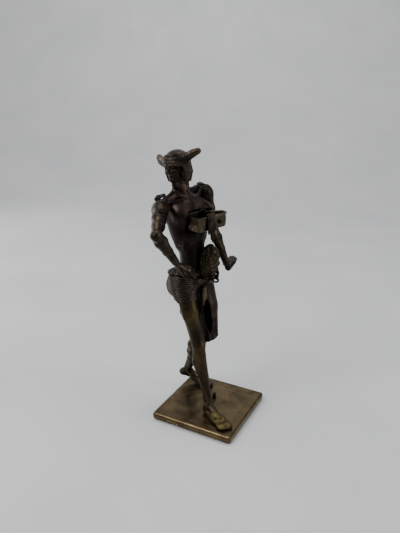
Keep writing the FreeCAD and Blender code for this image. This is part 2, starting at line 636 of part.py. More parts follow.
right_arm = arm("right_arm", right_shoulder, right_elbow, right_wrist, Vector(16.5, 15.5, -9.8),
                Vector(0.5, 0.3, 0.8), right_arm_bore)
left_arm = arm("left_arm", left_shoulder, left_elbow, left_wrist, Vector(-3.4, 22.0, 6.0),
               Vector(1.0, 0.2, 0.2), left_arm_bore)

# --------------------------------------------------- wrap, girdle, shell, sash

def hip_band(name, grow):
    """A barrel round the hips, grown by an expression, from the wrap's hem to its top."""
    rings = []
    for step, (up, lean, flare) in enumerate(((-size("wrap_down"), 2.2, 2.6), (0.0, -1.2, 1.0),
                                              (size("wrap_up"), -1.6, 0.0))):
        ring = add("Part::Ellipse", "%s_%d" % (name, step), facing(hips_frame.at(lean, 0, up), UP, side_way),
                   MajorRadius="$hips_mid_wide / 2 + 0.3 + %s" % grow,
                   MinorRadius="$hips_mid_deep / 2 + 1.8 + %s + %f" % (grow, flare))
        rings.append(ring)
    band = doc.addObject("Part::Loft", name)
    band.Sections = rings
    band.Solid = True
    return band


girdle_ring = add("Part::Ellipse", "girdle_ring_low",
                  facing(hips_frame.at(-0.4, 0, size("wrap_up")), UP, side_way),
                  MajorRadius="$hips_mid_wide / 2 + $girdle_thick",
                  MinorRadius="$hips_mid_deep / 2 + $girdle_thick + 1.4")
girdle_top = add("Part::Ellipse", "girdle_ring_top",
                 facing(hips_frame.at(-0.2, 0, size("wrap_up") + size("girdle_tall")), UP, side_way),
                 MajorRadius="$hips_mid_wide / 2",
                 MinorRadius="$hips_mid_deep / 2 + $girdle_thick")
girdle_body = doc.addObject("Part::Loft", "girdle_body")
girdle_body.Sections = [girdle_ring, girdle_top]
girdle_body.Solid = True
node("girdle", cut("girdle", girdle_body, [hips_core]))

shell_place = chest_frame.place(size("shell_forward"), size("shell_left"), -size("shell_down"))
shell_body = egg("shell_body", shell_place, "$shell_deep", "$shell_wide", "$shell_tall")
node("belly_shell", cut("shell", shell_body, [torso_core, hips_core, girdle_body]))

left_limb = doc.getObject("left_leg_limb")
right_limb = doc.getObject("right_leg_limb")
wrap_outer = hip_band("wrap_outer", "$wrap_thick")
sash_way = Body((0, 0, 0), size("sash_turn")).way(1, 0, 0)
sash_top = between(left_thigh_top, left_knee, size("sash_start"))
sash_place = facing(sash_top, left_knee - left_hip, sash_way)


def thigh_cone(name, grow):
    """A cone along the left thigh, grown by an expression beyond the leg."""
    return add("Part::Cone", name, sash_place,
               Radius1="$thigh_top_wide / 2 + %s" % grow, Radius2="$thigh_low_wide / 2 + 1.4 + %s" % grow,
               Height="%f" % (left_knee - sash_top).Length)


sash_outer = thigh_cone("sash_outer", "$sash_gap + $sash_thick")
node("hip_wrap", cut("wrap", wrap_outer, [hip_band("wrap_inner", "0"), right_limb, hips_core] + seats
                     + [sash_outer, shell_body]))

ring_place = chest_frame.at(size("ring_forward"), size("ring_left"), -size("ring_down"))
ring_torus = add("Part::Torus", "ring_torus", facing(ring_place, Vector(-0.4, 0.8, 0.3)),
                 Radius1="$ring_wide / 2 - $ring_wire / 2", Radius2="$ring_wire / 2")
node("shell_ring", ring_torus)

tassel_place = hips_frame.at(size("tassel_forward"), 0.6, -size("tassel_down"))
tassel_body = egg("tassel_body", Placement(tassel_place - UP * (size("tassel_long") / 2), hips_frame.rotation),
                  "$tassel_wide * 0.8", "$tassel_wide", "$tassel_long")
node("front_tassel", cut("tassel", tassel_body, [left_limb]))


def sash_opening(name, down, left, long, wide):
    """A long dished opening in the sash, between two of its folds."""
    spot = Vector(size("thigh_mid_wide") / 2, -size(left), size(down) - hip_height + sash_top.z)
    return egg(name, sash_place.multiply(Placement(spot, Rotation())), "$opening_deep", wide, long)


sash_back = add("Part::Box", "sash_back", sash_place.multiply(Placement(Vector(-60, -60, -20), Rotation())))
sash_back.Length = 60
sash_back.Width = 120
sash_back.Height = 120
openings = [sash_opening("long_opening", "long_opening_down", "long_opening_left", "$long_opening_long",
                         "$long_opening_wide"),
            sash_opening("short_opening", "short_opening_down", "short_opening_left",
                         "$short_opening_long", "$short_opening_wide")]
sash_cuts = [thigh_cone("sash_inner", "$sash_gap"), sash_back, left_limb, right_limb]
node("thigh_sash", cut("sash", sash_outer, sash_cuts + openings))

# -------------------------------------------------------------- check and write

doc.recompute()
for feature in doc.Objects:
    if "Invalid" in feature.State or "Error" in feature.State:
        raise RuntimeError("%s failed: %s" % (feature.Name, feature.State))
os.makedirs("parts", exist_ok=True)
for name, feature in NODES.items():
    shape = feature.Shape
    if shape.isNull() or not shape.isValid():
        raise RuntimeError("%s has no valid shape" % name)
    print("%-18s solids %d volume %8.1f" % (name, len(shape.Solids), shape.Volume))
    shape.exportStep("parts/%s.step" % name)
print("%d sub-parts, hip height %.1f" % (len(NODES), hip_height))
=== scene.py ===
import math

import bmesh
import bpy
import numpy as np
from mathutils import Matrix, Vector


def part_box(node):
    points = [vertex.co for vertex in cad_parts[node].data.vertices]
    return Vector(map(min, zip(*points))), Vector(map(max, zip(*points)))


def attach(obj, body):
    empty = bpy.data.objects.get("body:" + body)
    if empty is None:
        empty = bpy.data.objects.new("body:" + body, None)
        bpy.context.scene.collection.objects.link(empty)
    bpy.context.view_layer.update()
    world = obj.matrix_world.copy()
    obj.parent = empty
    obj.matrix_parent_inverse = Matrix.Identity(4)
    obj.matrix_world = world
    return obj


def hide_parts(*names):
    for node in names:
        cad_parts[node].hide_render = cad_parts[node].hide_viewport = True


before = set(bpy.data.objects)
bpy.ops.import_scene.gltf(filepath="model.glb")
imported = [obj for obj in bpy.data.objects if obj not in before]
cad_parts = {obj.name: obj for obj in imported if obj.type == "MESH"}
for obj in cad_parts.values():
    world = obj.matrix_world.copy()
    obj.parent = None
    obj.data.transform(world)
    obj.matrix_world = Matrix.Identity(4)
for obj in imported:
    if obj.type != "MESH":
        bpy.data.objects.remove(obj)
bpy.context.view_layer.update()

import openvdb
from mathutils import Vector

# A bronze statuette, sculpted as signed distances in millimetres and meshed
# piece by piece. The skeleton is the CAD model's: local frames point X
# forwards, Y to the figure's left and Z up; f, l and u are a grid's
# coordinates in such a frame.

MM = 0.001
FAR = 50.0
UP = np.array((0.0, 0.0, 1.0))


def vec(*values):
    return np.array(values, dtype=float)


def floats(*values):
    return [np.asarray(value, dtype=float) for value in values]


def unit(v):
    v = np.asarray(v, dtype=float)
    return v / np.linalg.norm(v)


def turned(x, y, z, origin, axes):
    """Coordinates about an origin, along the rows of axes."""
    px, py, pz = x - origin[0], y - origin[1], z - origin[2]
    return [px * row[0] + py * row[1] + pz * row[2] for row in axes]


# ---- skeleton

class Body:
    """A frame at a point, turned to face an azimuth from -Y towards +X; roll lifts its left side."""

    def __init__(self, origin, turn, roll=0.0):
        angle, lean = math.radians(turn), math.radians(roll)
        self.origin = np.array(origin, dtype=float)
        self.forward = vec(math.sin(angle), -math.cos(angle), 0)
        level_left = vec(math.cos(angle), math.sin(angle), 0)
        self.left = level_left * math.cos(lean) + UP * math.sin(lean)
        self.up = UP * math.cos(lean) - level_left * math.sin(lean)
        self.axes = np.stack([self.forward, self.left, self.up])

    def at(self, forward, left, up):
        return self.origin + self.way(forward, left, up)

    def way(self, forward, left, up):
        return self.forward * forward + self.left * left + self.up * up

    def egg(self, spot, radii):
        return egg(self.at(*spot), radii, self.axes)

    def bar(self, a, b, ra, rb=None):
        return capsule(self.at(*a), self.at(*b), ra, rb)

    def strand(self, spots, radii):
        return strand([self.at(*spot) for spot in spots], radii)

    def local(self, clay):
        """The grid's points in this frame."""
        return turned(clay.x, clay.y, clay.z, self.origin, self.axes)


def facing(turn):
    return Body((0, 0, 0), turn).forward


class Bone:
    """A frame along a limb: t runs from a to b, then front and left offsets."""

    def __init__(self, a, b, front):
        self.a, self.b, front = floats(a, b, front)
        self.length = np.linalg.norm(self.b - self.a)
        self.along = unit(self.b - self.a)
        self.front = unit(front - self.along * front.dot(self.along))
        self.side = np.cross(self.front, self.along)
        self.axes = np.stack([self.front, self.side, self.along])

    def at(self, t, front=0.0, side=0.0):
        return self.a + self.along * (t * self.length) + self.front * front + self.side * side


def elbow_of(root, end, upper, lower, pole):
    """Where two bones of known length meet, bent towards the pole."""
    reach = np.linalg.norm(end - root)
    line = unit(end - root)
    along = (upper ** 2 - lower ** 2 + reach ** 2) / (2 * reach)
    out = math.sqrt(max(upper ** 2 - along ** 2, 0.0))
    return root + line * along + unit(pole - line * pole.dot(line)) * out


def cad_low(node):
    return np.array(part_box(node)[0]) / MM


def cad_high(node):
    return np.array(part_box(node)[1]) / MM


PLATE_LOW = cad_low("base_plate")
PLATE_HIGH = cad_high("base_plate")
FLOOR = PLATE_HIGH[2]

# The CAD's driving sizes and turns.
HIPS_PLACE, HIPS_TURN, CHEST_TURN, HEAD_TURN, HEAD_ROLL = (-25.0, 4.0), 84.0, 74.0, -12.0, 8.0
THIGH, SHIN, KNEE_SLACK, HIP_HALF = 63.5, 61.2, 0.6, 11.5
ANKLE_TALL, HEEL_LIFT = 11.0, 7.0
UPPER_ARM, FOREARM, ARM_SLACK = 39.0, 42.3, 0.6

r_ankle = vec(8.0, -18.2, FLOOR + ANKLE_TALL)
l_ankle = vec(-37.5, 22.5, FLOOR + ANKLE_TALL + HEEL_LIFT)
level = Body(HIPS_PLACE + (0.0,), HIPS_TURN)
stride = np.linalg.norm(level.at(0, -HIP_HALF, r_ankle[2]) - r_ankle)
hip_height = r_ankle[2] + math.sqrt((THIGH + SHIN - KNEE_SLACK) ** 2 - stride ** 2)
HIPS = Body(HIPS_PLACE + (hip_height,), HIPS_TURN)
r_hip = HIPS.at(0, -HIP_HALF, 0)
l_hip = HIPS.at(0, HIP_HALF, 0)
r_knee = elbow_of(r_hip, r_ankle, THIGH, SHIN, HIPS.way(1, 0, 0)) + vec(-1.5, -0.8, -1.0)
sash_knee = elbow_of(l_hip, l_ankle, THIGH, SHIN, HIPS.way(0.92, -0.38, 0))
l_knee = sash_knee + vec(-3.4, -1.8, 0)

waist = HIPS.at(5.1, -0.5, 25.0)
CHEST = Body(waist, CHEST_TURN)
neck = CHEST.at(-11.1, -3.9, 61.0)
HEAD = Body(Body(neck, HEAD_TURN).at(2.6, -2.4, 21.2), HEAD_TURN, HEAD_ROLL)

r_shoulder = CHEST.at(-9.6, -30.75, 48.8)
l_shoulder = CHEST.at(-9.6, 25.75, 55.8)
r_wrist = CHEST.at(13.1, -31.8, 0.1)
r_elbow = elbow_of(r_shoulder, r_wrist, UPPER_ARM, FOREARM, vec(0.15, -0.95, 0.3))
l_wrist = l_shoulder + unit(vec(0.265, 0.132, -0.955)) * (UPPER_ARM + FOREARM - ARM_SLACK)
l_elbow = elbow_of(l_shoulder, l_wrist, UPPER_ARM, FOREARM, vec(-1.0, 0.3, 0))

# ---- clay tools


class Shape:
    """A signed distance with the box outside which it doesn't matter."""

    def __init__(self, low, high, distance):
        self.low, self.high = floats(low, high)
        self.distance = distance


def capsule(a, b, ra, rb=None):
    """A rounded bar from a to b, tapering from one radius to the other."""
    a, b = floats(a, b)
    rb = ra if rb is None else rb
    line = b - a
    square = max(line.dot(line), 1e-6)

    def distance(x, y, z):
        px, py, pz = x - a[0], y - a[1], z - a[2]
        t = np.clip((px * line[0] + py * line[1] + pz * line[2]) / square, 0, 1)
        gap = (px - line[0] * t) ** 2 + (py - line[1] * t) ** 2 + (pz - line[2] * t) ** 2
        return np.sqrt(gap) - (ra + (rb - ra) * t)

    big = max(ra, rb)
    return Shape(np.minimum(a, b) - big, np.maximum(a, b) + big, distance)


def egg(centre, radii, axes=None):
    """An ellipsoid: radii along the rows of axes."""
    centre, radii = floats(centre, radii)
    axes = np.eye(3) if axes is None else axes

    def distance(x, y, z):
        near = 0.0
        slope = 0.0
        for q, radius in zip(turned(x, y, z, centre, axes), radii):
            q = q / radius
            near = near + q * q
            slope = slope + (q / radius) ** 2
        near = np.sqrt(near)
        return near * (near - 1) / np.maximum(np.sqrt(slope), 1e-5)

    reach = np.sqrt(((axes.T * radii) ** 2).sum(axis=1))
    return Shape(centre - reach, centre + reach, distance)


def block(centre, half, axes=None, rounding=0.5):
    """A box with rounded edges."""
    centre, half = floats(centre, half)
    axes = np.eye(3) if axes is None else axes

    def distance(x, y, z):
        outside = 0.0
        inside = -FAR
        for q, size in zip(turned(x, y, z, centre, axes), half):
            q = np.abs(q) - (size - rounding)
            outside = outside + np.maximum(q, 0) ** 2
            inside = np.maximum(inside, q)
        return np.sqrt(outside) + np.minimum(inside, 0) - rounding

    reach = np.abs(axes.T * half).sum(axis=1)
    return Shape(centre - reach, centre + reach, distance)


def ring(centre, axes, radius, wire):
    """A torus round the third axis."""
    centre = np.asarray(centre, dtype=float)

    def distance(x, y, z):
        q = turned(x, y, z, centre, axes)
        round_gap = np.sqrt(q[0] ** 2 + q[1] ** 2) - radius
        return np.sqrt(round_gap ** 2 + q[2] ** 2) - wire

    return Shape(centre - radius - wire, centre + radius + wire, distance)


def strand(points, radii):
    """A chain of tapering capsules through points."""
    return [capsule(points[i], points[i + 1], radii[i], radii[i + 1]) for i in range(len(points) - 1)]


def span(shapes):
    """The box round some shapes."""
    return np.min([shape.low for shape in shapes], axis=0), np.max([shape.high for shape in shapes], axis=0)


def muscles(bone, *strands, mirror=1):
    """Strands on a bone, each a row of stations (t, front, side, radius)."""
    shapes = []
    for stations in strands:
        points = [bone.at(t, front, mirror * side) for t, front, side, _ in stations]
        shapes += strand(points, [station[3] for station in stations])
    return shapes


def soft_min(a, b, k):
    """The lower of two fields, melted over k."""
    blend = np.maximum(k - np.abs(a - b), 0) / k
    return np.minimum(a, b) - blend * blend * k * 0.25


def soft_max(a, b, k):
    return -soft_min(-a, -b, k)


def linked(name, data):
    piece = bpy.data.objects.new(name, data)
    bpy.context.scene.collection.objects.link(piece)
    return piece


class Clay:
    """A grid of distances over a box."""

    def __init__(self, low, high, grain):
        self.grain = grain
        self.low = np.asarray(low, dtype=float) - 3 * grain
        count = np.ceil((np.asarray(high) + 3 * grain - self.low) / grain).astype(int) + 1
        axes = [(self.low[i] + grain * np.arange(count[i])).astype(np.float32) for i in range(3)]
        self.x = axes[0][:, None, None]
        self.y = axes[1][None, :, None]
        self.z = axes[2][None, None, :]
        self.shape = tuple(count)
        self.d = self.blank()

    @classmethod
    def about(cls, point, below, above, grain):
        return cls(point - below, point + above, grain)

    def blank(self):
        return np.full(self.shape, FAR, dtype=np.float32)

    def window(self, shape, margin):
        low = np.floor((shape.low - margin - self.low) / self.grain).astype(int)
        high = np.ceil((shape.high + margin - self.low) / self.grain).astype(int) + 1
        low = np.maximum(low, 0)
        high = np.minimum(high, self.shape)
        if np.any(high <= low):
            return None
        return tuple(slice(a, b) for a, b in zip(low, high))

    def measured(self, shape, part):
        return shape.distance(self.x[part[0]], self.y[:, part[1]], self.z[:, :, part[2]])

    def field(self, shapes, k):
        """Distances to many shapes, melted together by k."""
        out = self.blank()
        for shape in shapes:
            part = self.window(shape, k + 3.0)
            if part is not None:
                out[part] = soft_min(out[part], self.measured(shape, part), k)
        return out

    def add(self, shapes, k):
        for shape in shapes:
            part = self.window(shape, k + 3.0)
            if part is not None:
                self.d[part] = soft_min(self.d[part], self.measured(shape, part), k)

    def carve(self, shapes, k):
        for shape in shapes:
            part = self.window(shape, k + 3.0)
            if part is not None:
                self.d[part] = soft_max(self.d[part], -self.measured(shape, part), k)

    def cut(self, field, k=0.0):
        """Keep only what lies where the field is below zero, the edge melted by k."""
        self.d = soft_max(self.d, field, k) if k else np.maximum(self.d, field)

    def mesh(self, name):
        grid = openvdb.FloatGrid()
        grid.background = 3.0
        grid.copyFromArray(np.clip(self.d, -3.0, 3.0).astype(np.float32))
        points, _, quads = grid.convertToPolygons(isovalue=0.0, adaptivity=0.0)
        points = (points * self.grain + self.low) * MM
        data = bpy.data.meshes.new(name)
        data.from_pydata(points.tolist(), [], quads[:, ::-1].tolist())
        data.shade_smooth()
        data.update()
        piece = linked(name, data)
        keep_largest(piece)
        return piece


def keep_largest(piece):
    """Drop loose crumbs, keeping shells of at least a twentieth of the biggest."""
    data = piece.data
    count = len(data.vertices)
    edges = np.empty(len(data.edges) * 2, dtype=np.int64)
    data.edges.foreach_get("vertices", edges)
    edges = edges.reshape(-1, 2)
    label = np.arange(count)
    while True:
        lower = np.minimum(label[edges[:, 0]], label[edges[:, 1]])
        before = label.copy()
        np.minimum.at(label, edges[:, 0], lower)
        np.minimum.at(label, edges[:, 1], lower)
        label = label[label]
        if np.array_equal(before, label):
            break
    names, sizes = np.unique(label, return_counts=True)
    if len(names) < 2:
        return
    keep = names[sizes >= sizes.max() / 20]
    drop = ~np.isin(label, keep)
    if not drop.any():
        return
    bm = bmesh.new()
    bm.from_mesh(data)
    bm.verts.ensure_lookup_table()
    bmesh.ops.delete(bm, geom=[bm.verts[i] for i in np.nonzero(drop)[0]], context="VERTS")
    bm.to_mesh(data)
    bm.free()
    data.shade_smooth()


# ---- body: groups


def torso_shapes():
    c = CHEST
    shapes = [c.egg((-7.5, 0.4, 33), (13.0, 20.5, 24)), c.egg((-8.5, -1.5, 47), (10.5, 21.0, 10.5)),
              c.bar((-3.0, 0, 12), (-1.0, 0, -6), 9.6, 8.8), c.egg((-1.5, 0, 10), (9.0, 10.8, 15)),
              c.egg((0.5, 1.5, 23), (10.8, 13.0, 15))]
    for side in (-1, 1):
        shapes += [c.egg((-1.6, side * 9.6 - 1.0, 41.5), (8.2, 11.5, 10.5)),
                   c.bar((-15, side * 13 - 1, 44), (-10, side * 8, 10), 6.6, 4.6),
                   c.egg((-18.2, side * 11 - 1, 42), (4.0, 7.6, 10.0)),
                   c.bar((-11, side * 3.2, 30), (-8.5, side * 3.4, -4), 4.4, 4.0)]
    shapes.append(c.egg((1.5, 11.5, 44.0), (7.0, 9.0, 6.0)))
    return shapes


def torso_detail():
    """Smaller forms, melted in more tightly."""
    c = CHEST
    shapes = []
    for side in (-1, 1):
        shapes += c.strand([(3.4, side * 1.2 - 1, 23), (3.6, side * 6 - 0.5, 17), (0.2, side * 12, 10.5)],
                           [2.2, 2.3, 2.0])
        shapes += [c.egg((6.0, side * 3.4, 9), (2.6, 3.2, 5.4)),
                   c.egg((5.6, side * 3.2, -1), (2.6, 3.1, 5.2)),
                   c.egg((-1.0, side * 8.2, 0), (5.6, 3.0, 7.0))]
        tip = l_shoulder if side > 0 else r_shoulder
        shapes += strand([c.at(-0.6, side * 2.6 - 3.0, 53.2), c.at(-1.2, side * 9 - 2.8, 54.6),
                          tip + c.way(1.5, -side * 6.0, 4.6)], [1.7, 1.5, 1.6])
        shapes += strand([c.at(-13.5, side * 2.0 - 3.9, 64), c.at(-13.0, side * 8 - 3.4, 57.5),
                          tip + c.way(-2.5, -side * 5.0, 3.6)], [3.8, 4.0, 3.4])
    return shapes


def shoulder_trim():
    """The ridge behind the right shoulder and the curls on the left one."""
    c = CHEST
    trim = strand([r_shoulder + c.way(-4.5, -4.0, 6.2), r_shoulder + c.way(-6.0, 2.0, 8.6),
                   r_shoulder + c.way(-5.5, 9.0, 9.8)], (1.4, 2.0, 1.5))
    dice = np.random.default_rng(3)
    for step in range(16):
        spot = l_shoulder + c.way(dice.uniform(-5, 1.0), -9.5 + 0.55 * step,
                                  5.2 + 0.16 * step + dice.uniform(-0.4, 0.8))
        trim.append(egg(spot, (1.5, 1.5, 1.4)))
    return trim


def neck_shapes():
    c = CHEST
    skull = HEAD.origin
    shapes = [capsule(neck - UP * 8 + c.way(-0.5, 0, 0), skull + HEAD.way(-2.0, 0, -8), 7.4, 6.6)]
    for side in (-1, 1):
        shapes += strand([c.at(-0.6, side * 2.2 - 3.0, 52.8), neck + c.way(4.6, side * 3.0, 2.0),
                          skull + HEAD.way(-2.5, side * 7.6, -8.0)], [1.5, 2.0, 2.4])
    shapes.append(capsule(neck + c.way(5.0, 0.2, 2), skull + HEAD.way(5.5, 0, -15.5), 2.8, 3.0))
    return shapes


def arm_shapes(shoulder, elbow, wrist, out):
    """out is the way away from the trunk at the shoulder."""
    bend = (shoulder + wrist) / 2 - elbow
    upper = Bone(shoulder, elbow, bend)
    lower = Bone(elbow, wrist, bend)
    shapes = [egg(shoulder + upper.along * 2.0 + out * 0.8, (7.6, 7.8, 9.6), upper.axes),
              capsule(upper.at(0.1), upper.at(1.0), 5.2, 4.0)]
    shapes += muscles(
        upper, ((0.05, 2.0, 0, 5.6), (0.42, 2.2, 0, 5.0), (0.62, 2.4, 0, 4.7), (0.92, 1.4, 0, 3.0)),
        ((0.1, -2.2, 0, 5.2), (0.45, -2.4, 0, 4.9), (0.72, -1.8, 0, 4.1), (0.98, -1.4, 0, 3.3)))
    shapes.append(egg(elbow - lower.front * 1.9, (3.4, 3.4, 4.2), lower.axes))
    shapes.append(capsule(lower.at(0.0), lower.at(1.0), 4.1, 2.9))
    return shapes + muscles(
        lower, ((0.0, 0.8, 2.4, 3.0), (0.22, 0.6, 2.2, 3.9), (0.5, 0.2, 1.4, 3.1), (0.85, 0, 0.6, 2.5)),
        ((0.0, 0.8, -2.4, 2.8), (0.2, 0.8, -2.2, 3.8), (0.5, 0.4, -1.3, 3.0), (0.85, 0.2, -0.6, 2.5)))


def hand_shapes(wrist, along, palm_out, thumb_side, curl):
    """A hand: along the fingers, palm_out normal to the palm, thumb on a side."""
    along = unit(along)
    out = unit(palm_out - along * palm_out.dot(along))
    across = unit(np.cross(along, out)) * thumb_side
    shapes = [capsule(wrist, wrist + along * 3.0, 2.9, 2.8)]
    widths = (3.3, 1.1, -1.1, -3.1)
    lengths = (11.0, 12.4, 11.6, 9.2)
    for place, length in zip(widths, lengths):
        root = wrist + along * 11.5 + across * place
        shapes.append(capsule(wrist + along * 3.0 + across * place * 0.5, root, 2.3, 1.75))
        bend = along
        points = [root]
        for joint, share in enumerate((0.42, 0.32, 0.26)):
            bend = unit(bend + out * curl * (0.5 + 0.35 * joint))
            points.append(points[-1] + bend * length * share)
        shapes += strand(points, [1.6, 1.42, 1.28, 1.05])
    base = wrist + along * 3.5 + across * 2.8 + out * 0.8
    knuckle = base + unit(along * 0.8 + across * 0.62 + out * 0.3) * 5.6
    tip = knuckle + unit(along * 0.95 + across * 0.25 + out * 0.25) * 6.4
    shapes += strand([base, knuckle, tip], [2.3, 1.75, 1.35])
    return shapes


def leg_shapes(hip, knee, ankle, out, face, calf=1.0):
    """out is 1 where the leg's outer side is its left; calf swells the calf."""
    thigh = Bone(hip, knee, face)
    shin = Bone(knee, ankle, face)
    shapes = [capsule(thigh.at(-0.02), thigh.at(0.98), 8.6, 5.8)]
    shapes += muscles(
        thigh, ((0.0, 3.0, 0, 6.8), (0.45, 3.0, 0.6, 5.6), (0.84, 1.8, 0.4, 3.9)),
        ((0.02, 0.5, 4.4, 6.6), (0.5, 1.2, 4.0, 5.6), (0.84, 1.0, 2.6, 3.4)),
        ((0.6, 1.2, -2.0, 4.0), (0.88, 1.0, -2.4, 3.4)),
        ((0.02, -3.6, -1.0, 6.8), (0.48, -3.2, 0, 5.6), (0.96, -2.6, 2.6, 2.8)),
        ((0.0, 0.0, -4.4, 5.8), (0.4, -0.6, -3.2, 5.0)), mirror=out)
    shapes += [capsule(shin.at(-0.02, 0.4, -2.2), shin.at(-0.02, 0.4, 2.2), 4.7),
               egg(knee + shin.front * 4.0, (2.0, 3.0, 4.4), shin.axes),
               capsule(shin.at(0.03, 3.2, 0), shin.at(0.14, 3.0, 0), 2.4, 2.2),
               capsule(shin.at(0.02), shin.at(0.98, 0.2), 4.9, 3.1)]
    shapes += muscles(shin, ((0.1, 1.8, 0, 3.6), (0.5, 1.4, 0, 3.0), (0.95, 0.4, 0, 2.7)),
                      ((0.1, 0.4, 2.0, 3.8), (0.45, 0.2, 1.8, 3.4), (0.8, -0.4, 1.2, 2.4)), mirror=out)
    for side in (-1, 1):
        shapes += muscles(
            shin, ((0.02, -2.4, 2.4, 3.2), (0.26, -4.0 * calf, 2.3, 4.5 * calf),
                   (0.46, -3.4 * calf, 1.5, 3.8 * calf), (0.68, -2.4, 0, 2.5 * calf), (0.97, -3.0, 0, 1.7)),
            mirror=side)
    return shapes


def foot_shapes(ankle, turn, out, lift):
    """A foot on the plate; lift raises the heel about the ball of the foot."""
    foot = Body((ankle[0], ankle[1], FLOOR), turn)
    ball_x, ball_z = 19.0, 3.4
    above = ANKLE_TALL - ball_z
    angle = 0.0
    if lift:
        rise = (ankle[2] - FLOOR - ball_z) / math.hypot(ball_x, above)
        angle = math.asin(min(rise, 0.99)) - math.atan2(above, ball_x)
    cos, sin = math.cos(angle), math.sin(angle)
    shift = -(ball_x - (ball_x * cos - above * sin)) if lift else 0.0

    def rear(x, y, z):
        dx, dz = x - ball_x, z - ball_z
        return foot.at(ball_x + shift + dx * cos + dz * sin, out * y, ball_z - dx * sin + dz * cos)

    def front(x, y, z):
        return foot.at(x + shift, out * y, z)

    bars = (((-3.2, 0, 4.2), (-0.5, 0, 8.5), 4.1, 3.9), ((0, 0, 10.5), (7.5, -0.8, 7.0), 4.0, 3.6),
            ((7.5, -0.8, 7.0), (17.5, -1.2, 4.0), 3.6, 2.9), ((-2.0, 1.0, 3.0), (17.0, 4.2, 2.6), 3.0, 2.5),
            ((9.0, -2.8, 4.2), (18.5, -4.2, 3.2), 2.8, 3.1), ((8.0, 1.5, 4.6), (18.0, 1.6, 3.0), 3.0, 2.6))
    shapes = [capsule(rear(*a), rear(*b), ra, rb) for a, b, ra, rb in bars]
    shapes += [egg(rear(0.2, -3.5, 11.4), (2.2, 1.9, 2.3)), egg(rear(-0.6, 3.6, 10.2), (2.1, 1.8, 2.4))]
    toes = ((-4.6, 13.2, 2.1), (-1.7, 13.4, 1.55), (0.9, 12.6, 1.45), (3.2, 11.4, 1.4), (5.2, 9.8, 1.35))
    for place, length, thick in toes:
        knuckle = front(ball_x + length * 0.5, place, thick + 0.9)
        tip = front(ball_x + length - thick, place * 1.03, thick)
        shapes.append(capsule(rear(18.0, place * 0.8, 3.2), knuckle, thick + 0.5, thick + 0.1))
        shapes.append(capsule(knuckle, tip, thick + 0.1, thick))
    return shapes


def hip_shapes():
    h = HIPS
    shapes = [h.egg((0.0, 0, 3), (12.2, 17.0, 14)), h.egg((5.0, -0.2, 12), (8.4, 11.6, 12)),
              capsule(h.at(4.6, -0.5, 14), waist + UP * 4, 10.4, 9.6)]
    for side in (-1, 1):
        shapes += [h.egg((-6.2, side * 8.0, -3.5), (9.8, 9.6, 11.4)),
                   h.bar((4.5, side * 12.5, 10.5), (-5, side * 14.5, 9.5), 4.0, 4.4)]
    return shapes


GROUPS = {
    "core": torso_shapes() + hip_shapes(),
    "detail": torso_detail(),
    "neck": neck_shapes(),
    "trim": shoulder_trim(),
    "drape": leg_shapes(l_hip + vec(2.6, 1.4, 0), sash_knee + vec(3.5, 1.9, 0), l_ankle, 1, facing(78)),
    "r_arm": arm_shapes(r_shoulder, r_elbow, r_wrist, -CHEST.left),
    "l_arm": arm_shapes(l_shoulder, l_elbow, l_wrist, CHEST.left),
    "r_hand": hand_shapes(r_wrist, vec(16.5, 15.5, -9.8), vec(-0.55, 0.35, -0.75), -1, 0.95),
    "l_hand": hand_shapes(l_wrist, vec(-3.4, 22.0, 6.0), vec(-0.2, 0.2, -1.0), 1, 0.12),
    "r_leg": leg_shapes(r_hip, r_knee, r_ankle, -1, facing(72)) + [
        capsule(r_hip + vec(4.2, 2.2, -8), r_hip + vec(2.6, 1.4, -30), 7.6, 6.0)],
    "l_leg": leg_shapes(l_hip, l_knee, l_ankle, 1, facing(78), 1.25),
    "r_foot": foot_shapes(r_ankle, 61.0, -1, False),
    "l_foot": foot_shapes(l_ankle, 108.0, 1, True),
}


def group_box(*names):
    return span([shape for name in names for shape in GROUPS[name]])


def core_field(clay):
    field = clay.field(GROUPS["core"], 5.0)
    return soft_min(field, clay.field(GROUPS["detail"], 1.6), 2.4)


def arm_field(clay, side):
    return soft_min(clay.field(GROUPS[side + "_arm"], 2.0), clay.field(GROUPS[side + "_hand"], 1.0), 1.6)


def leg_field(clay, side):
    return soft_min(clay.field(GROUPS[side + "_leg"], 2.2), clay.field(GROUPS[side + "_foot"], 1.3), 2.0)


def near(clay, point, reach):
    """1 at a point, falling to 0 at the reach."""
    gap = np.sqrt((clay.x - point[0]) ** 2 + (clay.y - point[1]) ** 2 + (clay.z - point[2]) ** 2)
    return np.clip(1.4 - gap / reach, 0.02, 1.0).astype(np.float32)


OVERLAP = 0.35
ARM_GRAIN, LEG_GRAIN, TRUNK_GRAIN, HIPS_GRAIN, HEAD_GRAIN, HORN_GRAIN = 0.4, 0.45, 0.45, 0.5, 0.3, 0.25
WRAP_GRAIN, CORD_GRAIN, SHELL_GRAIN, SHADE_SHEET_GRAIN, TRAY_GRAIN, CLOTH_GRAIN = 0.4, 0.35, 0.3, 0.45, 0.3, 0.28
TASSEL_GRAIN, SMALL_GRAIN, PLATE_GRAIN = 0.25, 0.2, 0.48


def body_piece(own, others, box, grain):
    """One casting: its own field melted into its neighbours, then clipped where they take over."""
    clay = Clay(box[0], box[1], grain)
    mine = own(clay)
    clay.d = mine.copy()
    for other, joint, reach, k in others:
        theirs = other(clay)
        clay.d = soft_min(clay.d, theirs, k * near(clay, joint, reach))
        clay.cut(mine - theirs - OVERLAP)
    return clay


# Where a casting melts into its neighbour: how far from the joint, and how softly.
SHOULDER_MELT, HIP_MELT, NECK_REACH, NECK_SOFT = (17.0, 5.0), (22.0, 5.0), 14.0, 3.4
SHOULDERS = {"r": (r_shoulder,) + SHOULDER_MELT, "l": (l_shoulder,) + SHOULDER_MELT}
SIDES = {"r": "right", "l": "left"}


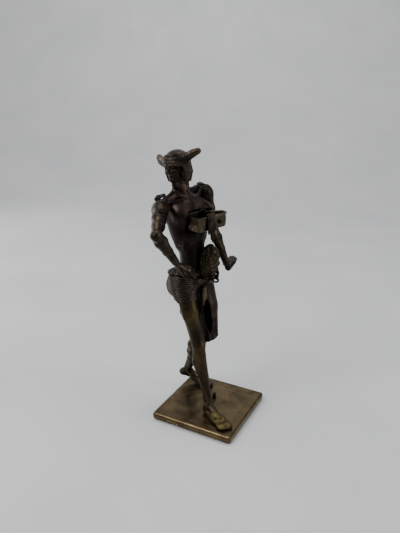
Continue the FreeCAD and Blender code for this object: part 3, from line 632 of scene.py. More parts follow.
def make_arm(side):
    box = group_box(side + "_arm", side + "_hand")
    joint, reach, k = SHOULDERS[side]
    clay = body_piece(lambda c: arm_field(c, side), [(core_field, joint, reach, k)], box, ARM_GRAIN)
    return clay.mesh(SIDES[side] + "_arm_cast")


def make_leg(side):
    hip = r_hip if side == "r" else l_hip
    box = group_box(side + "_leg", side + "_foot")
    clay = body_piece(lambda c: leg_field(c, side), [(core_field, hip) + HIP_MELT], box, LEG_GRAIN)
    clay.cut((FLOOR - 0.02) - clay.z)
    return clay.mesh(SIDES[side] + "_leg_cast")


def make_torso():
    low, high = group_box("core", "detail")
    low = np.array((low[0], low[1], waist[2] - 1.0))
    others = [(lambda c: arm_field(c, "r"),) + SHOULDERS["r"],
              (lambda c: arm_field(c, "l"),) + SHOULDERS["l"],
              (lambda c: c.field(GROUPS["neck"], 1.6), neck, NECK_REACH, NECK_SOFT)]
    clay = body_piece(core_field, others, (low, high), TRUNK_GRAIN)
    clay.cut((waist[2] - 0.3) - clay.z)
    clay.add(GROUPS["trim"], 0.9)
    arms = np.minimum(arm_field(clay, "r"), arm_field(clay, "l"))
    clay.cut(-(arms + 0.6))
    carve_slot(clay)
    return clay.mesh("torso_cast")


def carve_slot(clay):
    c = CHEST
    room = block(c.at(5.0, 3.0, 35.0), (19.4, 15.0, 9.4), c.axes, 0.6)
    wide = block(c.at(12.0, 10.0, 35.0), (20.4, 22.6, 9.4), c.axes, 0.6)
    clay.carve([room, wide], 0.8)


def make_hips():
    low, high = group_box("core")
    high = np.array((high[0], high[1], waist[2] + 1.0))
    others = [(lambda c: leg_field(c, "r"), r_hip) + HIP_MELT,
              (lambda c: leg_field(c, "l"), l_hip) + HIP_MELT]
    clay = body_piece(core_field, others, (low, high), HIPS_GRAIN)
    clay.cut(clay.z - (waist[2] + 0.3))
    return clay.mesh("hips_cast")


# ---- head, cap and horns


def head_shapes():
    h = HEAD
    shapes = [h.egg((-1.2, 0, 3.2), (11.6, 9.5, 10.6)), h.egg((3.4, 0, -3.8), (7.0, 6.8, 9.4))]
    for side in (-1, 1):
        shapes.append(h.bar((-2.0, side * 5.8, -6.0), (6.4, side * 2.2, -10.6), 2.7, 2.3))
        shapes.append(h.egg((6.6, side * 4.8, -2.6), (2.7, 2.2, 1.9)))
    shapes.append(h.egg((8.2, 0, -11.0), (2.3, 2.7, 2.2)))
    return shapes


def make_head():
    h = HEAD
    throat, skull = GROUPS["neck"], head_shapes()
    low, high = span(throat + skull)
    low[2] = neck[2] - 4.0
    clay = Clay(low, high, HEAD_GRAIN)
    own = soft_min(clay.field(throat, 1.6), clay.field(skull, 2.0), 2.0)
    torso = core_field(clay)
    clay.d = soft_min(own, torso, NECK_SOFT * near(clay, neck, NECK_REACH))
    clay.cut(own - torso - OVERLAP)
    clay.add([h.bar((9.3, -4.2, 1.6), (9.9, 0, 1.2), 1.2, 1.0),
              h.bar((9.9, 0, 1.2), (9.3, 4.2, 1.6), 1.0, 1.2),
              h.bar((9.9, 0, 1.0), (12.2, 0, -3.8), 0.95, 1.3), h.egg((11.1, 1.35, -4.2), (1.3, 0.95, 0.95)),
              h.egg((11.1, -1.35, -4.2), (1.3, 0.95, 0.95))], 1.0)
    clay.carve([h.egg((10.4, side * 3.6, -0.7), (1.8, 2.4, 1.5)) for side in (-1, 1)], 0.9)
    clay.add([h.egg((8.4, side * 3.5, -0.9), (1.7, 1.9, 1.5)) for side in (-1, 1)], 0.3)
    lips = []
    for side in (-1, 1):
        lips += [h.bar((8.9, side * 3.4, -0.2), (10.0, side * 1.6, -0.1), 0.5, 0.4),
                 h.bar((10.6, side * 0.3, -7.0), (9.7, side * 2.2, -7.4), 0.8, 0.5),
                 h.bar((10.4, side * 0.3, -8.4), (9.6, side * 1.9, -8.1), 0.85, 0.5)]
    clay.add(lips, 0.5)
    clay.carve([h.bar((11.4, -1.7, -7.75), (11.4, 1.7, -7.75), 0.34)], 0.4)
    return clay.mesh("head_cast")


def horn_path(side):
    left = ((0, 8.5, 6.4), (-0.6, 13.5, 8.4), (-1.4, 19.0, 10.6), (-2.2, 24.2, 12.2))
    right = ((0.8, -8.5, 4.6), (0.3, -14.0, 4.8), (-0.6, -18.5, 6.4), (-1.6, -22.2, 9.4))
    return [HEAD.at(*spot) for spot in (left if side > 0 else right)]


def make_horn(side):
    thick = (4.6, 3.9, 3.4, 2.9) if side > 0 else (5.2, 4.6, 3.8, 3.0)
    path = horn_path(side)
    shapes = strand(path[1:], thick[1:])
    low, high = span(shapes)
    clay = Clay(low - 1, high + 1, HORN_GRAIN)
    clay.d = clay.field(shapes, 1.4)
    along, = turned(clay.x, clay.y, clay.z, path[0], [unit(path[-1] - path[0])])
    clay.d = clay.d + 0.12 * np.sin(along * 4.2)
    tip = path[-1] + unit(path[-1] - path[-2]) * (thick[-1] * 0.5)
    clay.add([egg(tip, (1.8, 1.8, 1.8))], 1.2)
    return clay.mesh("left_horn_cast" if side > 0 else "right_horn_cast")


def make_cap():
    h = HEAD
    clay = Clay.about(h.origin, vec(22, 20, 22), vec(22, 20, 20), HEAD_GRAIN)
    f, l, u = h.local(clay)
    shapes = [h.egg((-1.0, 0, 4.2), (13.4, 11.4, 11.4))]
    for side in (-1, 1):
        path = horn_path(side)
        shapes += strand(path[:2], (5.6, 4.3) if side > 0 else (6.0, 4.9))
    clay.d = clay.field(shapes, 4.0)
    clay.cut((1.6 - 0.10 * f) - u, 1.0)
    clay.d = clay.d + 0.10 * np.sin(f * 3.1 + np.sin(l * 1.7) * 1.4) * np.cos(l * 2.6 + np.sin(u * 1.3))
    dice = np.random.default_rng(11)
    curls = []
    for row, (rise, count, reach) in enumerate(((2.2, 15, 80), (4.9, 14, 78), (7.6, 12, 70), (10.2, 9, 55))):
        for step in range(count):
            turn = math.radians(-reach + 2 * reach * (step + 0.5 * (row % 2)) / count + dice.uniform(-2, 2))
            level = rise + dice.uniform(-0.4, 0.4)
            shrink = math.sqrt(max(1 - ((level - 4.2) / 12.0) ** 2, 0.1))
            spot = h.at(-1.0 + 13.3 * shrink * math.cos(turn), 11.2 * shrink * math.sin(turn), level)
            out = unit(h.way(math.cos(turn), math.sin(turn), 0.25))
            across = unit(np.cross(UP, out))
            axes = np.stack([across, np.cross(out, across), out])
            curls.append(ring(spot + out * 0.1, axes, 0.95 + dice.uniform(-0.1, 0.15), 0.55))
            curls.append(egg(spot + out * 0.5, (0.5, 0.5, 0.5)))
    clay.add(curls, 0.25)
    locks = []
    for side in (-1, 1):
        for step in range(6):
            forward = 3.6 - 2.0 * step
            top = h.at(forward, side * (10.6 - 0.25 * abs(step - 2)), 4.0)
            mid = h.at(forward - 0.3 + 0.4 * math.sin(step * 2.1), side * 10.9, -4.5)
            low = h.at(forward * 0.8 - 0.8, side * (10.2 - 0.2 * step),
                       -11.6 + 0.5 * (step % 2) - 0.3 * step)
            locks += strand([top, mid, low], (1.35, 1.3, 0.95))
        locks += h.strand([(7.6, side * 7.3, 1.4), (3.9, side * 8.6, -5.6), (0.8, side * 8.4, -12.6)],
                          (0.8, 0.95, 0.75))
    back = [h.bar((-9.5 + 0.6 * abs(step), 2.6 * step, 3.0), (-8.0 + 0.6 * abs(step), 2.4 * step, -9.5), 1.9,
                  1.3) for step in range(-3, 4)]
    clay.add(locks + back, 0.45)
    clay.carve([h.egg((-1.2, 0, 3.0), (11.2, 9.1, 10.3))], 0.2)
    return clay.mesh("horned_cap_cast")


# ---- wrap, shell and sash


def clothed_field(clay):
    """The hips with both legs, as the cloth lies over them."""
    field = soft_min(core_field(clay), leg_field(clay, "r"), 5.0)
    return soft_min(field, leg_field(clay, "l"), 5.0)


RIDGE_PITCH = 1.9


def make_wrap():
    h = HIPS
    clay = Clay.about(h.origin, vec(27, 30, 22), vec(27, 30, 11), WRAP_GRAIN)
    body = clothed_field(clay)
    f, l, u = h.local(clay)
    turn = np.arctan2(l, f)
    sway = 1.2 * np.sin(turn * 2 + 2.3) + 0.5 * np.sin(turn * 5 + u * 0.15) + 0.25 * np.sin(turn * 11)
    ridge = np.sin((u + sway) * (2 * math.pi / RIDGE_PITCH))
    plain = np.exp(-((turn + 0.25) / 0.55) ** 2)
    ridge = ridge * (0.55 - 0.42 * plain)
    thick = 2.0 + 0.7 * np.exp(-((u + 6) / 7.0) ** 2)
    hem = -17.5 + 2.6 * np.sin(turn * 1.0 + 2.2) + 0.7 * np.sin(turn * 6)
    clay.d = soft_max(body - thick - ridge, u - 9.0, 1.4)
    clay.cut(hem - u, 1.4)
    clay.cut(-(body + 0.5))
    rolls = []
    for level, reach, radius in ((4.4, 0, 1.5), (1.6, 1, 0.9), (-4.2, 2, 0.8)):
        points = []
        for step in range(7):
            left = -12.0 + reach + (17.0 - 2 * reach) * step / 6
            front = math.sqrt(max(1 - (left / 24.5) ** 2, 0)) * 19.2 - 1.4
            points.append(h.at(front, left, level + 0.5 * math.sin(step * 1.1)))
        rolls += strand(points, [radius * 0.7] + [radius] * 5 + [radius * 0.6])
    clay.add(rolls, 0.8)
    return clay.mesh("hip_wrap_cast")


def make_girdle():
    h = HIPS
    clay = Clay(h.origin + vec(-27, -30, 4), h.origin + vec(27, 30, 20), CORD_GRAIN)
    body = clothed_field(clay)
    f, l, u = h.local(clay)
    turn = np.arctan2(l, f)
    level = 10.6 + 0.5 * np.sin(turn * 3)
    cord = np.sqrt((body - 1.5) ** 2 + (u - level) ** 2)
    twist = 0.28 * np.sin(turn * 26 + (u - level) * 1.6)
    clay.d = cord - 1.9 - twist
    folds = []
    dice = np.random.default_rng(5)
    for step in range(6):
        left = -14.0 + 2.1 * step
        start = h.at(13.4 - 0.03 * left * left, left, 13.5 + dice.uniform(-1, 1.5))
        mid = h.at(16.4 - 0.03 * left * left, left + 2.2, 11.5 + dice.uniform(-1, 1))
        end = h.at(15.0, left + 5.5, 8.2 + dice.uniform(-1, 1))
        folds += strand([start, mid, end], (0.8, 1.25, 0.8))
    clay.add(folds, 0.5)
    return clay.mesh("girdle_cast")


def make_shell():
    c = Body(CHEST.at(15.0, 5.2, -4.5), CHEST_TURN)
    clay = Clay.about(c.origin, vec(16, 17, 22), vec(16, 17, 22), SHELL_GRAIN)
    f, l, u = c.local(clay)
    outline = c.egg((0.4, 0.8, -0.4), (6.2, 12.2, 17.8))
    clay.add([outline], 0.1)
    fan = np.arctan2(u + 5.0, l + 10.0)
    far = np.sqrt((u + 5.0) ** 2 + (l + 10.0) ** 2)
    front = np.clip((f + 1.0) / 3.0, 0, 1)
    clay.d = clay.d - 0.75 * np.sin(fan * 20) * np.clip((far - 6) / 9, 0, 1) * front
    clay.d = clay.d - 0.25 * np.sin(far * 2.6) * front
    petals = []
    for step in range(7):
        lean = -1.0 + 0.33 * step
        start = c.at(4.6, -10.0 + 0.7 * step, 13.0 - 4.2 * step)
        mid = c.at(6.8, -6.6 + 0.9 * step, 9.0 - 4.2 * step + lean)
        end = c.at(6.0, -3.0 + 0.7 * step, 3.6 - 3.6 * step)
        petals += strand([start, mid, end], (0.8, 1.3, 0.7))
    petals += c.strand([(5.4, 7.2, -11.0), (4.4, 8.0, -15.5), (3.4, 7.6, -18.5)], (1.6, 1.3, 1.0))
    for step in range(5):
        side = 9.6 - 0.5 * step
        petals.append(c.egg((2.6, side + 0.8, 8.5 - 4.0 * step), (1.1, 1.2, 1.2)))
    clay.add(petals, 0.5)
    core = core_field(clay)
    clay.cut(-(core + 0.3))
    return clay.mesh("belly_shell_cast")


def make_ring():
    place = CHEST.at(18.0, 12.4, -24.0)
    way = unit(vec(-0.4, 0.8, 0.3))
    across = unit(np.cross(UP, way))
    axes = np.stack([across, np.cross(way, across), way])
    clay = Clay(place - 5.5, place + 5.5, SMALL_GRAIN)
    clay.add([ring(place, axes, 2.45, 0.95)], 0.1)
    clay.add([capsule(place + UP * 2.4, place + UP * 4.4 - CHEST.way(1.5, 1.0, 0), 0.9, 1.1)], 0.4)
    return clay.mesh("shell_ring_cast")


def make_tassel():
    h = HIPS
    clay = Clay(h.at(10, -7, -26) - 4, h.at(24, 7, -3) + 4, TASSEL_GRAIN)
    clay.add([h.egg((17.6, -0.4, -12.5), (2.7, 3.3, 6.6)), h.egg((17.6, -0.4, -6.4), (1.9, 2.2, 1.8)),
              h.bar((17.4, -0.4, -16.5), (16.8, -0.6, -23.5), 1.8, 0.9)], 1.2)
    f, l, u = h.local(clay)
    clay.d = clay.d - 0.14 * np.sin(np.arctan2(l + 0.4, f - 17.6) * 9) * np.clip((-11 - u) / 4, 0, 1)
    return clay.mesh("front_tassel_cast")


SASH = Bone(l_hip, sash_knee, facing(42.0))


# Each opening: share of the way down, side, half width, half length, front, half depth.
OPENINGS = ((0.62, 2.8, 4.2, 18.5, 9.0, 11.0), (0.44, -6.8, 3.0, 13.0, 8.0, 10.0))
DRAPE_REACH, DRAPE_GAP, RIM_STEPS = 17.5, 3.4, 8


def sash_openings(grow):
    b = SASH
    return [egg(b.at(share, front, side), (deep + grow, wide + grow, long + grow), b.axes) for share, side,
            wide, long, front, deep in OPENINGS]


def sash_rims():
    """Thin rolled edges round the openings, lifted onto the cloth."""
    b = SASH
    folds = []
    for share, side, wide, long, _, _ in OPENINGS:
        for way in (-1, 1):
            points = []
            for step in range(RIM_STEPS + 1):
                angle = math.pi * step / RIM_STEPS
                point = b.at(share + long * math.cos(angle) / b.length, 0,
                             side + way * wide * math.sin(angle))
                points.append(point + b.front * drape_height(point))
            folds += strand(points, [0.9] * len(points))
    return folds


def make_sash():
    b = SASH
    low = np.minimum(b.a, b.b) - 17
    high = np.maximum(b.a, b.b) + 17
    high[2] = HIPS.origin[2] - 6.0
    clay = Clay(low, high, CORD_GRAIN)
    leg = soft_min(clay.field(GROUPS["drape"], 2.0), core_field(clay), 5.0)
    front, side, along = turned(clay.x, clay.y, clay.z, b.a, b.axes)
    turn = np.arctan2(side, front)
    drop = np.clip(along / b.length, 0, 1)
    stand = 2.8 + 1.6 * np.sin(drop * math.pi) + 0.6 * np.sin(turn * 7 + drop * 2) + 0.3 * np.sin(turn * 15)
    clay.d = soft_max(leg - stand, -(front + 2.0 + 2.0 * drop), 1.2)
    across = np.clip((side - 2.0) / 13.0, -0.98, 0.98)
    hem = b.length * 1.05 - 15.0 * (1 - np.sqrt(1 - across ** 2)) - 1.0 * np.abs(np.sin(turn * 2.4 + 0.4))
    clay.cut(along - hem, 1.2)
    clay.cut(-(leg - 0.1))
    clay.cut(-(leg_field(clay, "r") + 0.2))
    clay.carve(sash_openings(0.0), 0.8)
    clay.add(sash_rims(), 0.7)
    return clay.mesh("thigh_sash_cast")


def drape_height(point):
    """How far in front of a point the cloth over the thigh lies."""
    high = DRAPE_REACH
    while high > 0:
        spot = point + SASH.front * high
        if min(float(shape.distance(*spot)) for shape in GROUPS["drape"]) < DRAPE_GAP:
            break
        high -= 0.4
    return max(high, 2.0)


def make_painted_shade_sheet():
    """A near-black sheet on the leg inside the sash's two openings: painted shade for the dark hollow behind
    them.
    """
    b = SASH
    clay = Clay(np.minimum(b.a, b.b) - 15, np.maximum(b.a, b.b) + 15, SHADE_SHEET_GRAIN)
    leg = clay.field(GROUPS["drape"], 2.0)
    clay.d = np.maximum(leg - 0.6, -(leg + 0.5))
    room = np.minimum(*[clay.field([shape], 0.1) for shape in sash_openings(1.6)])
    clay.cut(room)
    return clay.mesh("sash_painted_shade_cast")


# ---- chest tray


TRAY_FRONT, TRAY_BACK, TRAY_LEFT, TRAY_RIGHT = 18, -6, 16.5, -10.5
TRAY_TOP, TRAY_FLOOR, TRAY_WALL, TRAY_LIP = 40.0, 26.6, 1.5, 0.85
WING_LEFT, WING_RIGHT, WING_DEEP, WING_ROUND = 30, 8, 9.0, 7.0
SLANT = (-0.812, 0.584)


def tray_plan(clay, inset):
    """Distance to the tray's plan, a box with a slanted wing, drawn in by an inset."""
    f, l, u = CHEST.local(clay)
    mid = np.maximum(np.maximum(f - TRAY_FRONT + inset, TRAY_BACK + inset - f),
                     np.maximum(l - TRAY_LEFT + inset, TRAY_RIGHT + inset - l))
    slant = (f - WING_DEEP) * SLANT[0] + (l - WING_LEFT) * SLANT[1]
    wing = np.maximum(np.maximum(f - TRAY_FRONT + inset, inset - f),
                      np.maximum(l - WING_LEFT + inset, WING_RIGHT - l))
    past_front = np.maximum(f - (TRAY_FRONT - WING_ROUND), 0)
    past_left = np.maximum(l - (WING_LEFT - WING_ROUND), 0)
    corner = np.sqrt(past_front ** 2 + past_left ** 2) - WING_ROUND + inset
    wing = np.maximum(np.maximum(wing, slant + inset), corner)
    return np.minimum(mid, wing), l, u


def make_tray():
    c = CHEST
    clay = Clay(c.at(5, 9, 0) - vec(24, 27, -24), c.at(5, 9, 0) + vec(24, 27, 44), TRAY_GRAIN)
    outer, l, u = tray_plan(clay, 0.0)
    inner, _, _ = tray_plan(clay, TRAY_WALL)
    bulge = 0.5 * np.sin(np.clip((u - 26.5) / 13.5, 0, 1) * math.pi)
    clay.d = soft_max(soft_max(outer - bulge + 0.3, u - TRAY_TOP, 0.9), TRAY_FLOOR - u, 1.4)
    clay.cut(-np.maximum(inner, TRAY_FLOOR + 1.8 - u), 0.7)
    lip = np.sqrt(outer ** 2 + (u - 39.4) ** 2) - TRAY_LIP
    clay.d = soft_min(clay.d, lip, 0.6)
    clay.d = clay.d + 0.07 * np.sin(l * 2.3 + u * 0.7)
    return clay.mesh("chest_tray_cast")


def make_cloth():
    c = CHEST
    clay = Clay(c.at(18, 5, 28) - vec(13, 13, 14), c.at(18, 5, 28) + vec(13, 13, 18), CLOTH_GRAIN)
    folds = []
    for step, (left, length, lean) in enumerate(((0.6, 15, -0.6), (2.6, 20, 0.2), (4.8, 23, 0.5),
                                                 (7.0, 20.5, -0.4), (9.0, 14, -1.6))):
        out = 19.6 + 0.5 * (step % 2)
        folds += c.strand([(14.2, left * 0.8 + 1.0, 35.5), (16.0, left * 0.8 + 0.9, 40.2),
                           (18.2, left * 0.9 + 0.5, 41.2), (out, left, 38.0),
                           (out + 0.6, left + lean * 0.5, 38.0 - length * 0.5),
                           (out + 0.2, left + lean, 39.5 - length)], (0.9, 1.1, 1.2, 1.35, 1.25, 0.8))
    clay.d = clay.field(folds, 1.1)
    outer, l, u = tray_plan(clay, 0.0)
    clay.d = clay.d - 0.22 * np.sin(l * 2.4 + np.sin(u * 0.5))
    inner, _, _ = tray_plan(clay, TRAY_WALL)
    wall = np.maximum(np.maximum(outer - 0.2, -inner - 0.2), u - 39.9)
    clay.cut(-wall)
    return clay.mesh("tray_cloth_cast")


def make_knob():
    c = CHEST
    spot = c.at(18.0, 16.6, 33.2)
    clay = Clay(spot - 5, spot + 5, SMALL_GRAIN)
    clay.add([egg(spot + c.way(2.0, 0, 0), (1.5, 1.9, 1.9), c.axes),
              capsule(spot, spot + c.way(1.5, 0, 0), 1.0),
              ring(spot + c.way(0.6, 0, 0), np.stack([c.left, c.up, c.forward]), 1.6, 0.4)], 0.4)
    return clay.mesh("tray_knob_cast")


# ---- plate


PLATE_ROUND = 2.3
# Wandering scratches near the plate's edges: both ends and how wide.
SCRATCHES = (((-38, 31.5, 0.2), (38, 29.0, 0.2), 0.55), ((-36, -35.5, 0.25), (30, -35.8, 0.25), 0.5),
             ((34.5, -20, 0.25), (35.0, 26, 0.25), 0.45))


def make_plate():
    centre = (PLATE_LOW + PLATE_HIGH) / 2
    half = (PLATE_HIGH - PLATE_LOW) / 2
    clay = Clay(PLATE_LOW, PLATE_HIGH, PLATE_GRAIN)
    clay.add([block(centre, half, rounding=PLATE_ROUND)], 0.1)
    clay.d = clay.d + 0.05 * np.sin(clay.x * 0.5 + 1.0) * np.sin(clay.y * 0.37)
    top = UP * FLOOR
    clay.carve([capsule(top + vec(*a), top + vec(*b), wide) for a, b, wide in SCRATCHES], 0.4)
    return clay.mesh("base_plate_cast")


def make_peg():
    low, high = cad_low("plate_peg"), cad_high("plate_peg")
    spot = vec((low[0] + high[0]) / 2, (low[1] + high[1]) / 2, FLOOR)
    clay = Clay.about(spot, vec(4, 4, 1), vec(4, 4, 7), SMALL_GRAIN)
    clay.add([capsule(spot, spot + UP * 2.0, 2.1, 1.7), egg(spot + UP * 3.6, (2.0, 2.0, 1.7)),
              egg(spot + vec(0.4, 0.2, 5.2), (1.2, 1.2, 1.0))], 0.6)
    clay.cut(FLOOR - 0.05 - clay.z)
    return clay.mesh("plate_peg_cast")


# ---- materials


class Look:
    """A node material under construction."""

    def __init__(self, name):
        self.mat = bpy.data.materials.new(name)
        self.mat.use_nodes = True
        self.nodes, self.links = self.mat.node_tree.nodes, self.mat.node_tree.links
        self.nodes.clear()
        out = self.make("OutputMaterial")
        self.shader = self.make("BsdfPrincipled")
        self.links.new(self.shader.outputs[0], out.inputs[0])
        self.place = self.make("TexCoord").outputs["Object"]

    def make(self, kind, **numbers):
        """A node with its numbers set, an input's name written with _ for a space."""
        node = self.nodes.new("ShaderNode" + kind)
        for name, number in numbers.items():
            node.inputs[name.replace("_", " ")].default_value = number
        return node

    def pointiness(self):
        return self.make("NewGeometry").outputs["Pointiness"]

    def noise(self, size, detail=4.0, distort=0.0, stretch=None):
        node = self.make("TexNoise", Scale=size, Detail=detail, Distortion=distort)
        source = self.place
        if stretch:
            warp = self.make("Mapping", Scale=stretch)
            self.links.new(source, warp.inputs["Vector"])
            source = warp.outputs["Vector"]
        self.links.new(source, node.inputs["Vector"])
        return node.outputs["Fac"]

    def ramp(self, source, low, high, a=0.0, b=1.0):
        node = self.make("MapRange", From_Min=low, From_Max=high, To_Min=a, To_Max=b)
        self.links.new(source, node.inputs["Value"])
        return node.outputs["Result"]

    def calc(self, kind, a, b):
        node = self.make("Math")
        node.operation = kind
        for place, value in enumerate((a, b)):
            if isinstance(value, (int, float)):
                node.inputs[place].default_value = value
            else:
                self.links.new(value, node.inputs[place])
        return node.outputs[0]

    def mix(self, factor, a, b):
        node = self.make("Mix")
        node.data_type = "RGBA"
        self.links.new(factor, node.inputs["Factor"])
        for place, value in ((6, a), (7, b)):
            if isinstance(value, tuple):
                node.inputs[place].default_value = value + (1.0,)
            else:
                self.links.new(value, node.inputs[place])
        return node.outputs[2]

    def bump(self, height, depth, strength=0.5):
        node = self.make("Bump", Strength=strength, Distance=depth)
        self.links.new(height, node.inputs["Height"])
        self.links.new(node.outputs["Normal"], self.shader.inputs["Normal"])

    def colour(self, source):
        self.links.new(source, self.shader.inputs["Base Color"])

    def rough(self, source):
        self.links.new(source, self.shader.inputs["Roughness"])


def bronze(name, dark, light, edge_wear_and_highlight_colour, rough=(0.30, 0.46), edge_wear_and_highlight_share=0.7, patch=(0.42, 0.66), olive=None):
    """Patinated bronze: near-black hollows, brown forms, bright edges that are partly rubbed wear and partly
    painted highlight, and thin scratches.
    """
    look = Look(name)
    look.shader.inputs["Metallic"].default_value = 1.0
    point = look.pointiness()
    speck = look.noise(1400, 3)
    # Edge mask by pointiness: partly rubbed wear, partly painted highlight.
    edge_wear_and_highlight_mask = look.ramp(look.calc("ADD", point, look.calc("MULTIPLY", speck, 0.03)), 0.535, 0.60)
    hollow = look.ramp(point, 0.42, 0.495, 1.0, 0.0)
    tone = look.mix(look.ramp(look.noise(55, 5, 0.8), patch[0], patch[1]), dark, light)
    if olive:
        tone = look.mix(look.ramp(look.noise(30, 3, 0.4), 0.48, 0.62, 0.0, 0.8), tone, olive)
    tone = look.mix(look.calc("MULTIPLY", hollow, 0.85), tone, tuple(value * 0.3 for value in dark))
    # Edges mixed towards a bright colour: partly rubbed wear, partly painted highlight.
    tone = look.mix(look.calc("MULTIPLY", edge_wear_and_highlight_mask, edge_wear_and_highlight_share), tone, edge_wear_and_highlight_colour)
    look.colour(tone)
    streaks = look.noise(220, 4, 0.0, (1.0, 1.0, 0.12))
    look.rough(look.ramp(look.calc("ADD", look.calc("MULTIPLY", look.noise(140, 4), 0.6),
                                   look.calc("MULTIPLY", streaks, 0.4)), 0.35, 0.65, rough[0], rough[1]))
    grain = look.calc("ADD", look.noise(420, 4), look.calc("MULTIPLY", speck, 0.4))
    look.bump(look.calc("ADD", grain, look.calc("MULTIPLY", look.noise(120, 3), 1.4)), 0.00016, 0.45)
    return look.mat


def metal(name, dark, light, edge_wear_and_highlight_colour, rough):
    """Plain machined metal with a turned grain."""
    look = Look(name)
    look.shader.inputs["Metallic"].default_value = 1.0
    point = look.pointiness()
    tone = look.mix(look.ramp(look.noise(300, 4), 0.4, 0.6), dark, light)
    # Edges lightened by pointiness: partly wear, partly painted highlight.
    look.colour(look.mix(look.ramp(point, 0.52, 0.6), tone, edge_wear_and_highlight_colour))
    look.rough(look.ramp(look.noise(90, 3), 0.3, 0.7, rough, rough + 0.15))
    look.bump(look.noise(900, 3, 0.0, (1.0, 1.0, 8.0)), 0.00005, 0.3)
    return look.mat


def felt_cloth():
    look = Look("felt")
    fibre = look.noise(2600, 5, 1.2)
    look.colour(look.mix(look.ramp(fibre, 0.35, 0.65), (0.012, 0.022, 0.014), (0.03, 0.05, 0.034)))
    look.rough(look.ramp(look.noise(200, 3), 0.3, 0.7, 0.88, 0.98))
    look.shader.inputs["Sheen Weight"].default_value = 0.4
    look.bump(fibre, 0.0003, 0.8)
    return look.mat


SKIN = bronze("figure_bronze", (0.014, 0.0098, 0.009), (0.034, 0.024, 0.020), (0.34, 0.26, 0.19),
              (0.36, 0.54), 0.5)
FACE = bronze("face_bronze", (0.026, 0.018, 0.015), (0.062, 0.043, 0.034), (0.42, 0.31, 0.21), (0.36, 0.54),
              0.55)
LIMB = bronze("limb_bronze", (0.020, 0.015, 0.011), (0.052, 0.038, 0.026), (0.52, 0.40, 0.26), (0.30, 0.46),
              0.6)
LEG = bronze("leg_bronze", (0.024, 0.018, 0.012), (0.058, 0.043, 0.026), (0.46, 0.35, 0.20), (0.34, 0.5),
             0.55,
             olive=(0.070, 0.054, 0.018))
DARK = bronze("dark_bronze", (0.020, 0.0155, 0.013), (0.052, 0.040, 0.032), (0.40, 0.31, 0.24),
              (0.36, 0.52), 0.6)
HORN = bronze("horn_bronze", (0.045, 0.033, 0.023), (0.12, 0.088, 0.056), (0.72, 0.56, 0.38), (0.26, 0.42),
              0.75)
SHELL = bronze("shell_bronze", (0.010, 0.0078, 0.005), (0.034, 0.026, 0.014), (0.44, 0.34, 0.20),
               (0.32, 0.48), 0.7)
TRAY = bronze("tray_bronze", (0.045, 0.033, 0.023), (0.12, 0.088, 0.055), (0.72, 0.56, 0.36), (0.26, 0.42),
              0.8)
# Near-black painted shade for the sheet inside the sash openings.
PAINTED_SHADE = bronze("painted_shade_bronze", (0.004, 0.0035, 0.003), (0.010, 0.008, 0.007), (0.02, 0.017, 0.014),
               (0.6, 0.8), 0.3)
PLATE = bronze("plate_bronze", (0.070, 0.049, 0.025), (0.135, 0.096, 0.048), (0.80, 0.60, 0.34),
               (0.28, 0.42), 0.95,
               (0.38, 0.62))
STEEL = metal("steel", (0.35, 0.35, 0.36), (0.5, 0.5, 0.51), (0.7, 0.7, 0.7), 0.28)
BRASS = metal("pin_brass", (0.5, 0.39, 0.18), (0.66, 0.52, 0.26), (0.85, 0.7, 0.4), 0.25)
FELT = felt_cloth()


def dress(piece, material, slot, *nodes, body="figure"):
    piece.data.materials.clear()
    piece.data.materials.append(material)
    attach(piece, body)
    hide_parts(*nodes)


dress(make_torso(), SKIN, "figure_bronze", "torso")
dress(make_hips(), SKIN, "figure_bronze", "hips")
dress(make_arm("r"), LIMB, "figure_bronze", "right_arm")
dress(make_arm("l"), LIMB, "figure_bronze", "left_arm")
dress(make_leg("r"), LEG, "figure_bronze", "right_leg")
dress(make_leg("l"), LEG, "figure_bronze", "left_leg")
dress(make_head(), FACE, "figure_bronze", "head")
dress(make_cap(), DARK, "dark_bronze", "horned_cap")
dress(make_horn(-1), HORN, "horn_bronze", "right_horn")
dress(make_horn(1), HORN, "horn_bronze", "left_horn")
dress(make_wrap(), DARK, "dark_bronze", "hip_wrap")
dress(make_girdle(), DARK, "dark_bronze", "girdle")
dress(make_shell(), SHELL, "shell_bronze", "belly_shell")
dress(make_ring(), SHELL, "shell_bronze", "shell_ring")
dress(make_tassel(), HORN, "horn_bronze", "front_tassel")
dress(make_sash(), DARK, "dark_bronze", "thigh_sash")
# The painted shade sheet inside the sash openings.
dress(make_painted_shade_sheet(), PAINTED_SHADE, "dark_bronze")
dress(make_tray(), TRAY, "tray_bronze", "chest_tray", body="tray")
dress(make_cloth(), DARK, "dark_bronze", "tray_cloth", body="tray")
dress(make_knob(), DARK, "dark_bronze", "tray_knob", body="tray")
dress(make_plate(), PLATE, "plate_bronze", "base_plate")
dress(make_peg(), DARK, "dark_bronze", "plate_peg")
for names, material in ((("foot_screws", "screw_washers"), STEEL), (("felt_pad",), FELT),
                        (("hip_pins", "waist_pin", "neck_pin", "shoulder_pins"), BRASS)):
    for name in names:
        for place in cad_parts[name].material_slots:
            place.material = material

# ---- stage, light, camera


VIEW_PLACE, VIEW_YAW, VIEW_DOWN, VIEW_LENS, VIEW_SENSOR = (0.1971, -0.3926, 0.3101), 27.94, 19.38, 33.8, 36
FLOOR_NEAR, FLOOR_FAR, WALL_TOP, CURVE, CURVE_STEPS, HALF_WIDE = -2.5, 0.9, 4.0, 0.9, 12, 4.0
# Each lamp: place, aim, width, height, power.
LAMPS = {
    "key": ((-0.40, -0.62, 0.85), (0, 0, 0.10), 0.50, 0.40, 8.0),
    "fill": ((-0.9, 0.2, 0.5), (0, 0, 0.14), 0.5, 0.9, 3.0),
    "side": ((0.75, 0.15, 0.55), (0, 0, 0.14), 0.35, 0.8, 3.5),
    "wall": ((-0.1, 0.4, 2.2), (-0.7, 1.5, 0.9), 1.6, 0.8, 40),
}


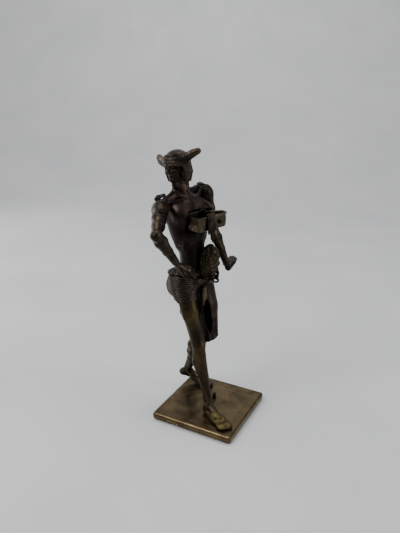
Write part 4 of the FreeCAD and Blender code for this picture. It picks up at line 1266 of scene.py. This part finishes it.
def studio():
    """A pale sweep: floor, curve and back wall in one sheet, turned to face the camera."""
    rows = [(FLOOR_NEAR, 0.0), (FLOOR_FAR, 0.0)]
    for step in range(1, CURVE_STEPS + 1):
        angle = math.pi / 2 * step / CURVE_STEPS
        rows.append((FLOOR_FAR + CURVE * math.sin(angle), CURVE - CURVE * math.cos(angle)))
    rows.append((FLOOR_FAR + CURVE, WALL_TOP))
    yaw = math.radians(VIEW_YAW)
    points = []
    for depth, height in rows:
        for side in (-HALF_WIDE, HALF_WIDE):
            points.append((side * math.cos(yaw) - depth * math.sin(yaw),
                           side * math.sin(yaw) + depth * math.cos(yaw), height))
    faces = [(2 * i, 2 * i + 1, 2 * i + 3, 2 * i + 2) for i in range(len(rows) - 1)]
    data = bpy.data.meshes.new("studio_sweep")
    data.from_pydata(points, [], faces)
    data.shade_smooth()
    sweep = linked("studio_sweep", data)
    look = Look("studio_paper")
    look.colour(look.mix(look.ramp(look.noise(6, 4), 0.35, 0.65), (0.50, 0.505, 0.515),
                         (0.55, 0.552, 0.56)))
    look.rough(look.ramp(look.noise(20, 3), 0.3, 0.7, 0.5, 0.6))
    data.materials.append(look.mat)
    world = bpy.data.worlds.new("studio_world")
    bpy.context.scene.world = world
    world.use_nodes = True
    world.node_tree.nodes["Background"].inputs["Color"].default_value = (0.86, 0.88, 0.90, 1)
    world.node_tree.nodes["Background"].inputs["Strength"].default_value = 0.35


def lamp(name, place, aim, width, height, power):
    data = bpy.data.lights.new(name, "AREA")
    data.shape = "RECTANGLE"
    data.size = width
    data.size_y = height
    data.energy = power
    light = linked(name, data)
    light.location = place
    light.rotation_euler = (Vector(aim) - Vector(place)).to_track_quat("-Z", "Y").to_euler()


def camera():
    data = bpy.data.cameras.new("view")
    eye = linked("view", data)
    eye.location = VIEW_PLACE
    eye.rotation_euler = (math.radians(90 - VIEW_DOWN), 0, math.radians(VIEW_YAW))
    data.sensor_width = VIEW_SENSOR
    data.lens = VIEW_LENS
    data.clip_start = 0.01
    bpy.context.scene.camera = eye


studio()
for lamp_name, values in LAMPS.items():
    lamp(lamp_name, *values)
camera()
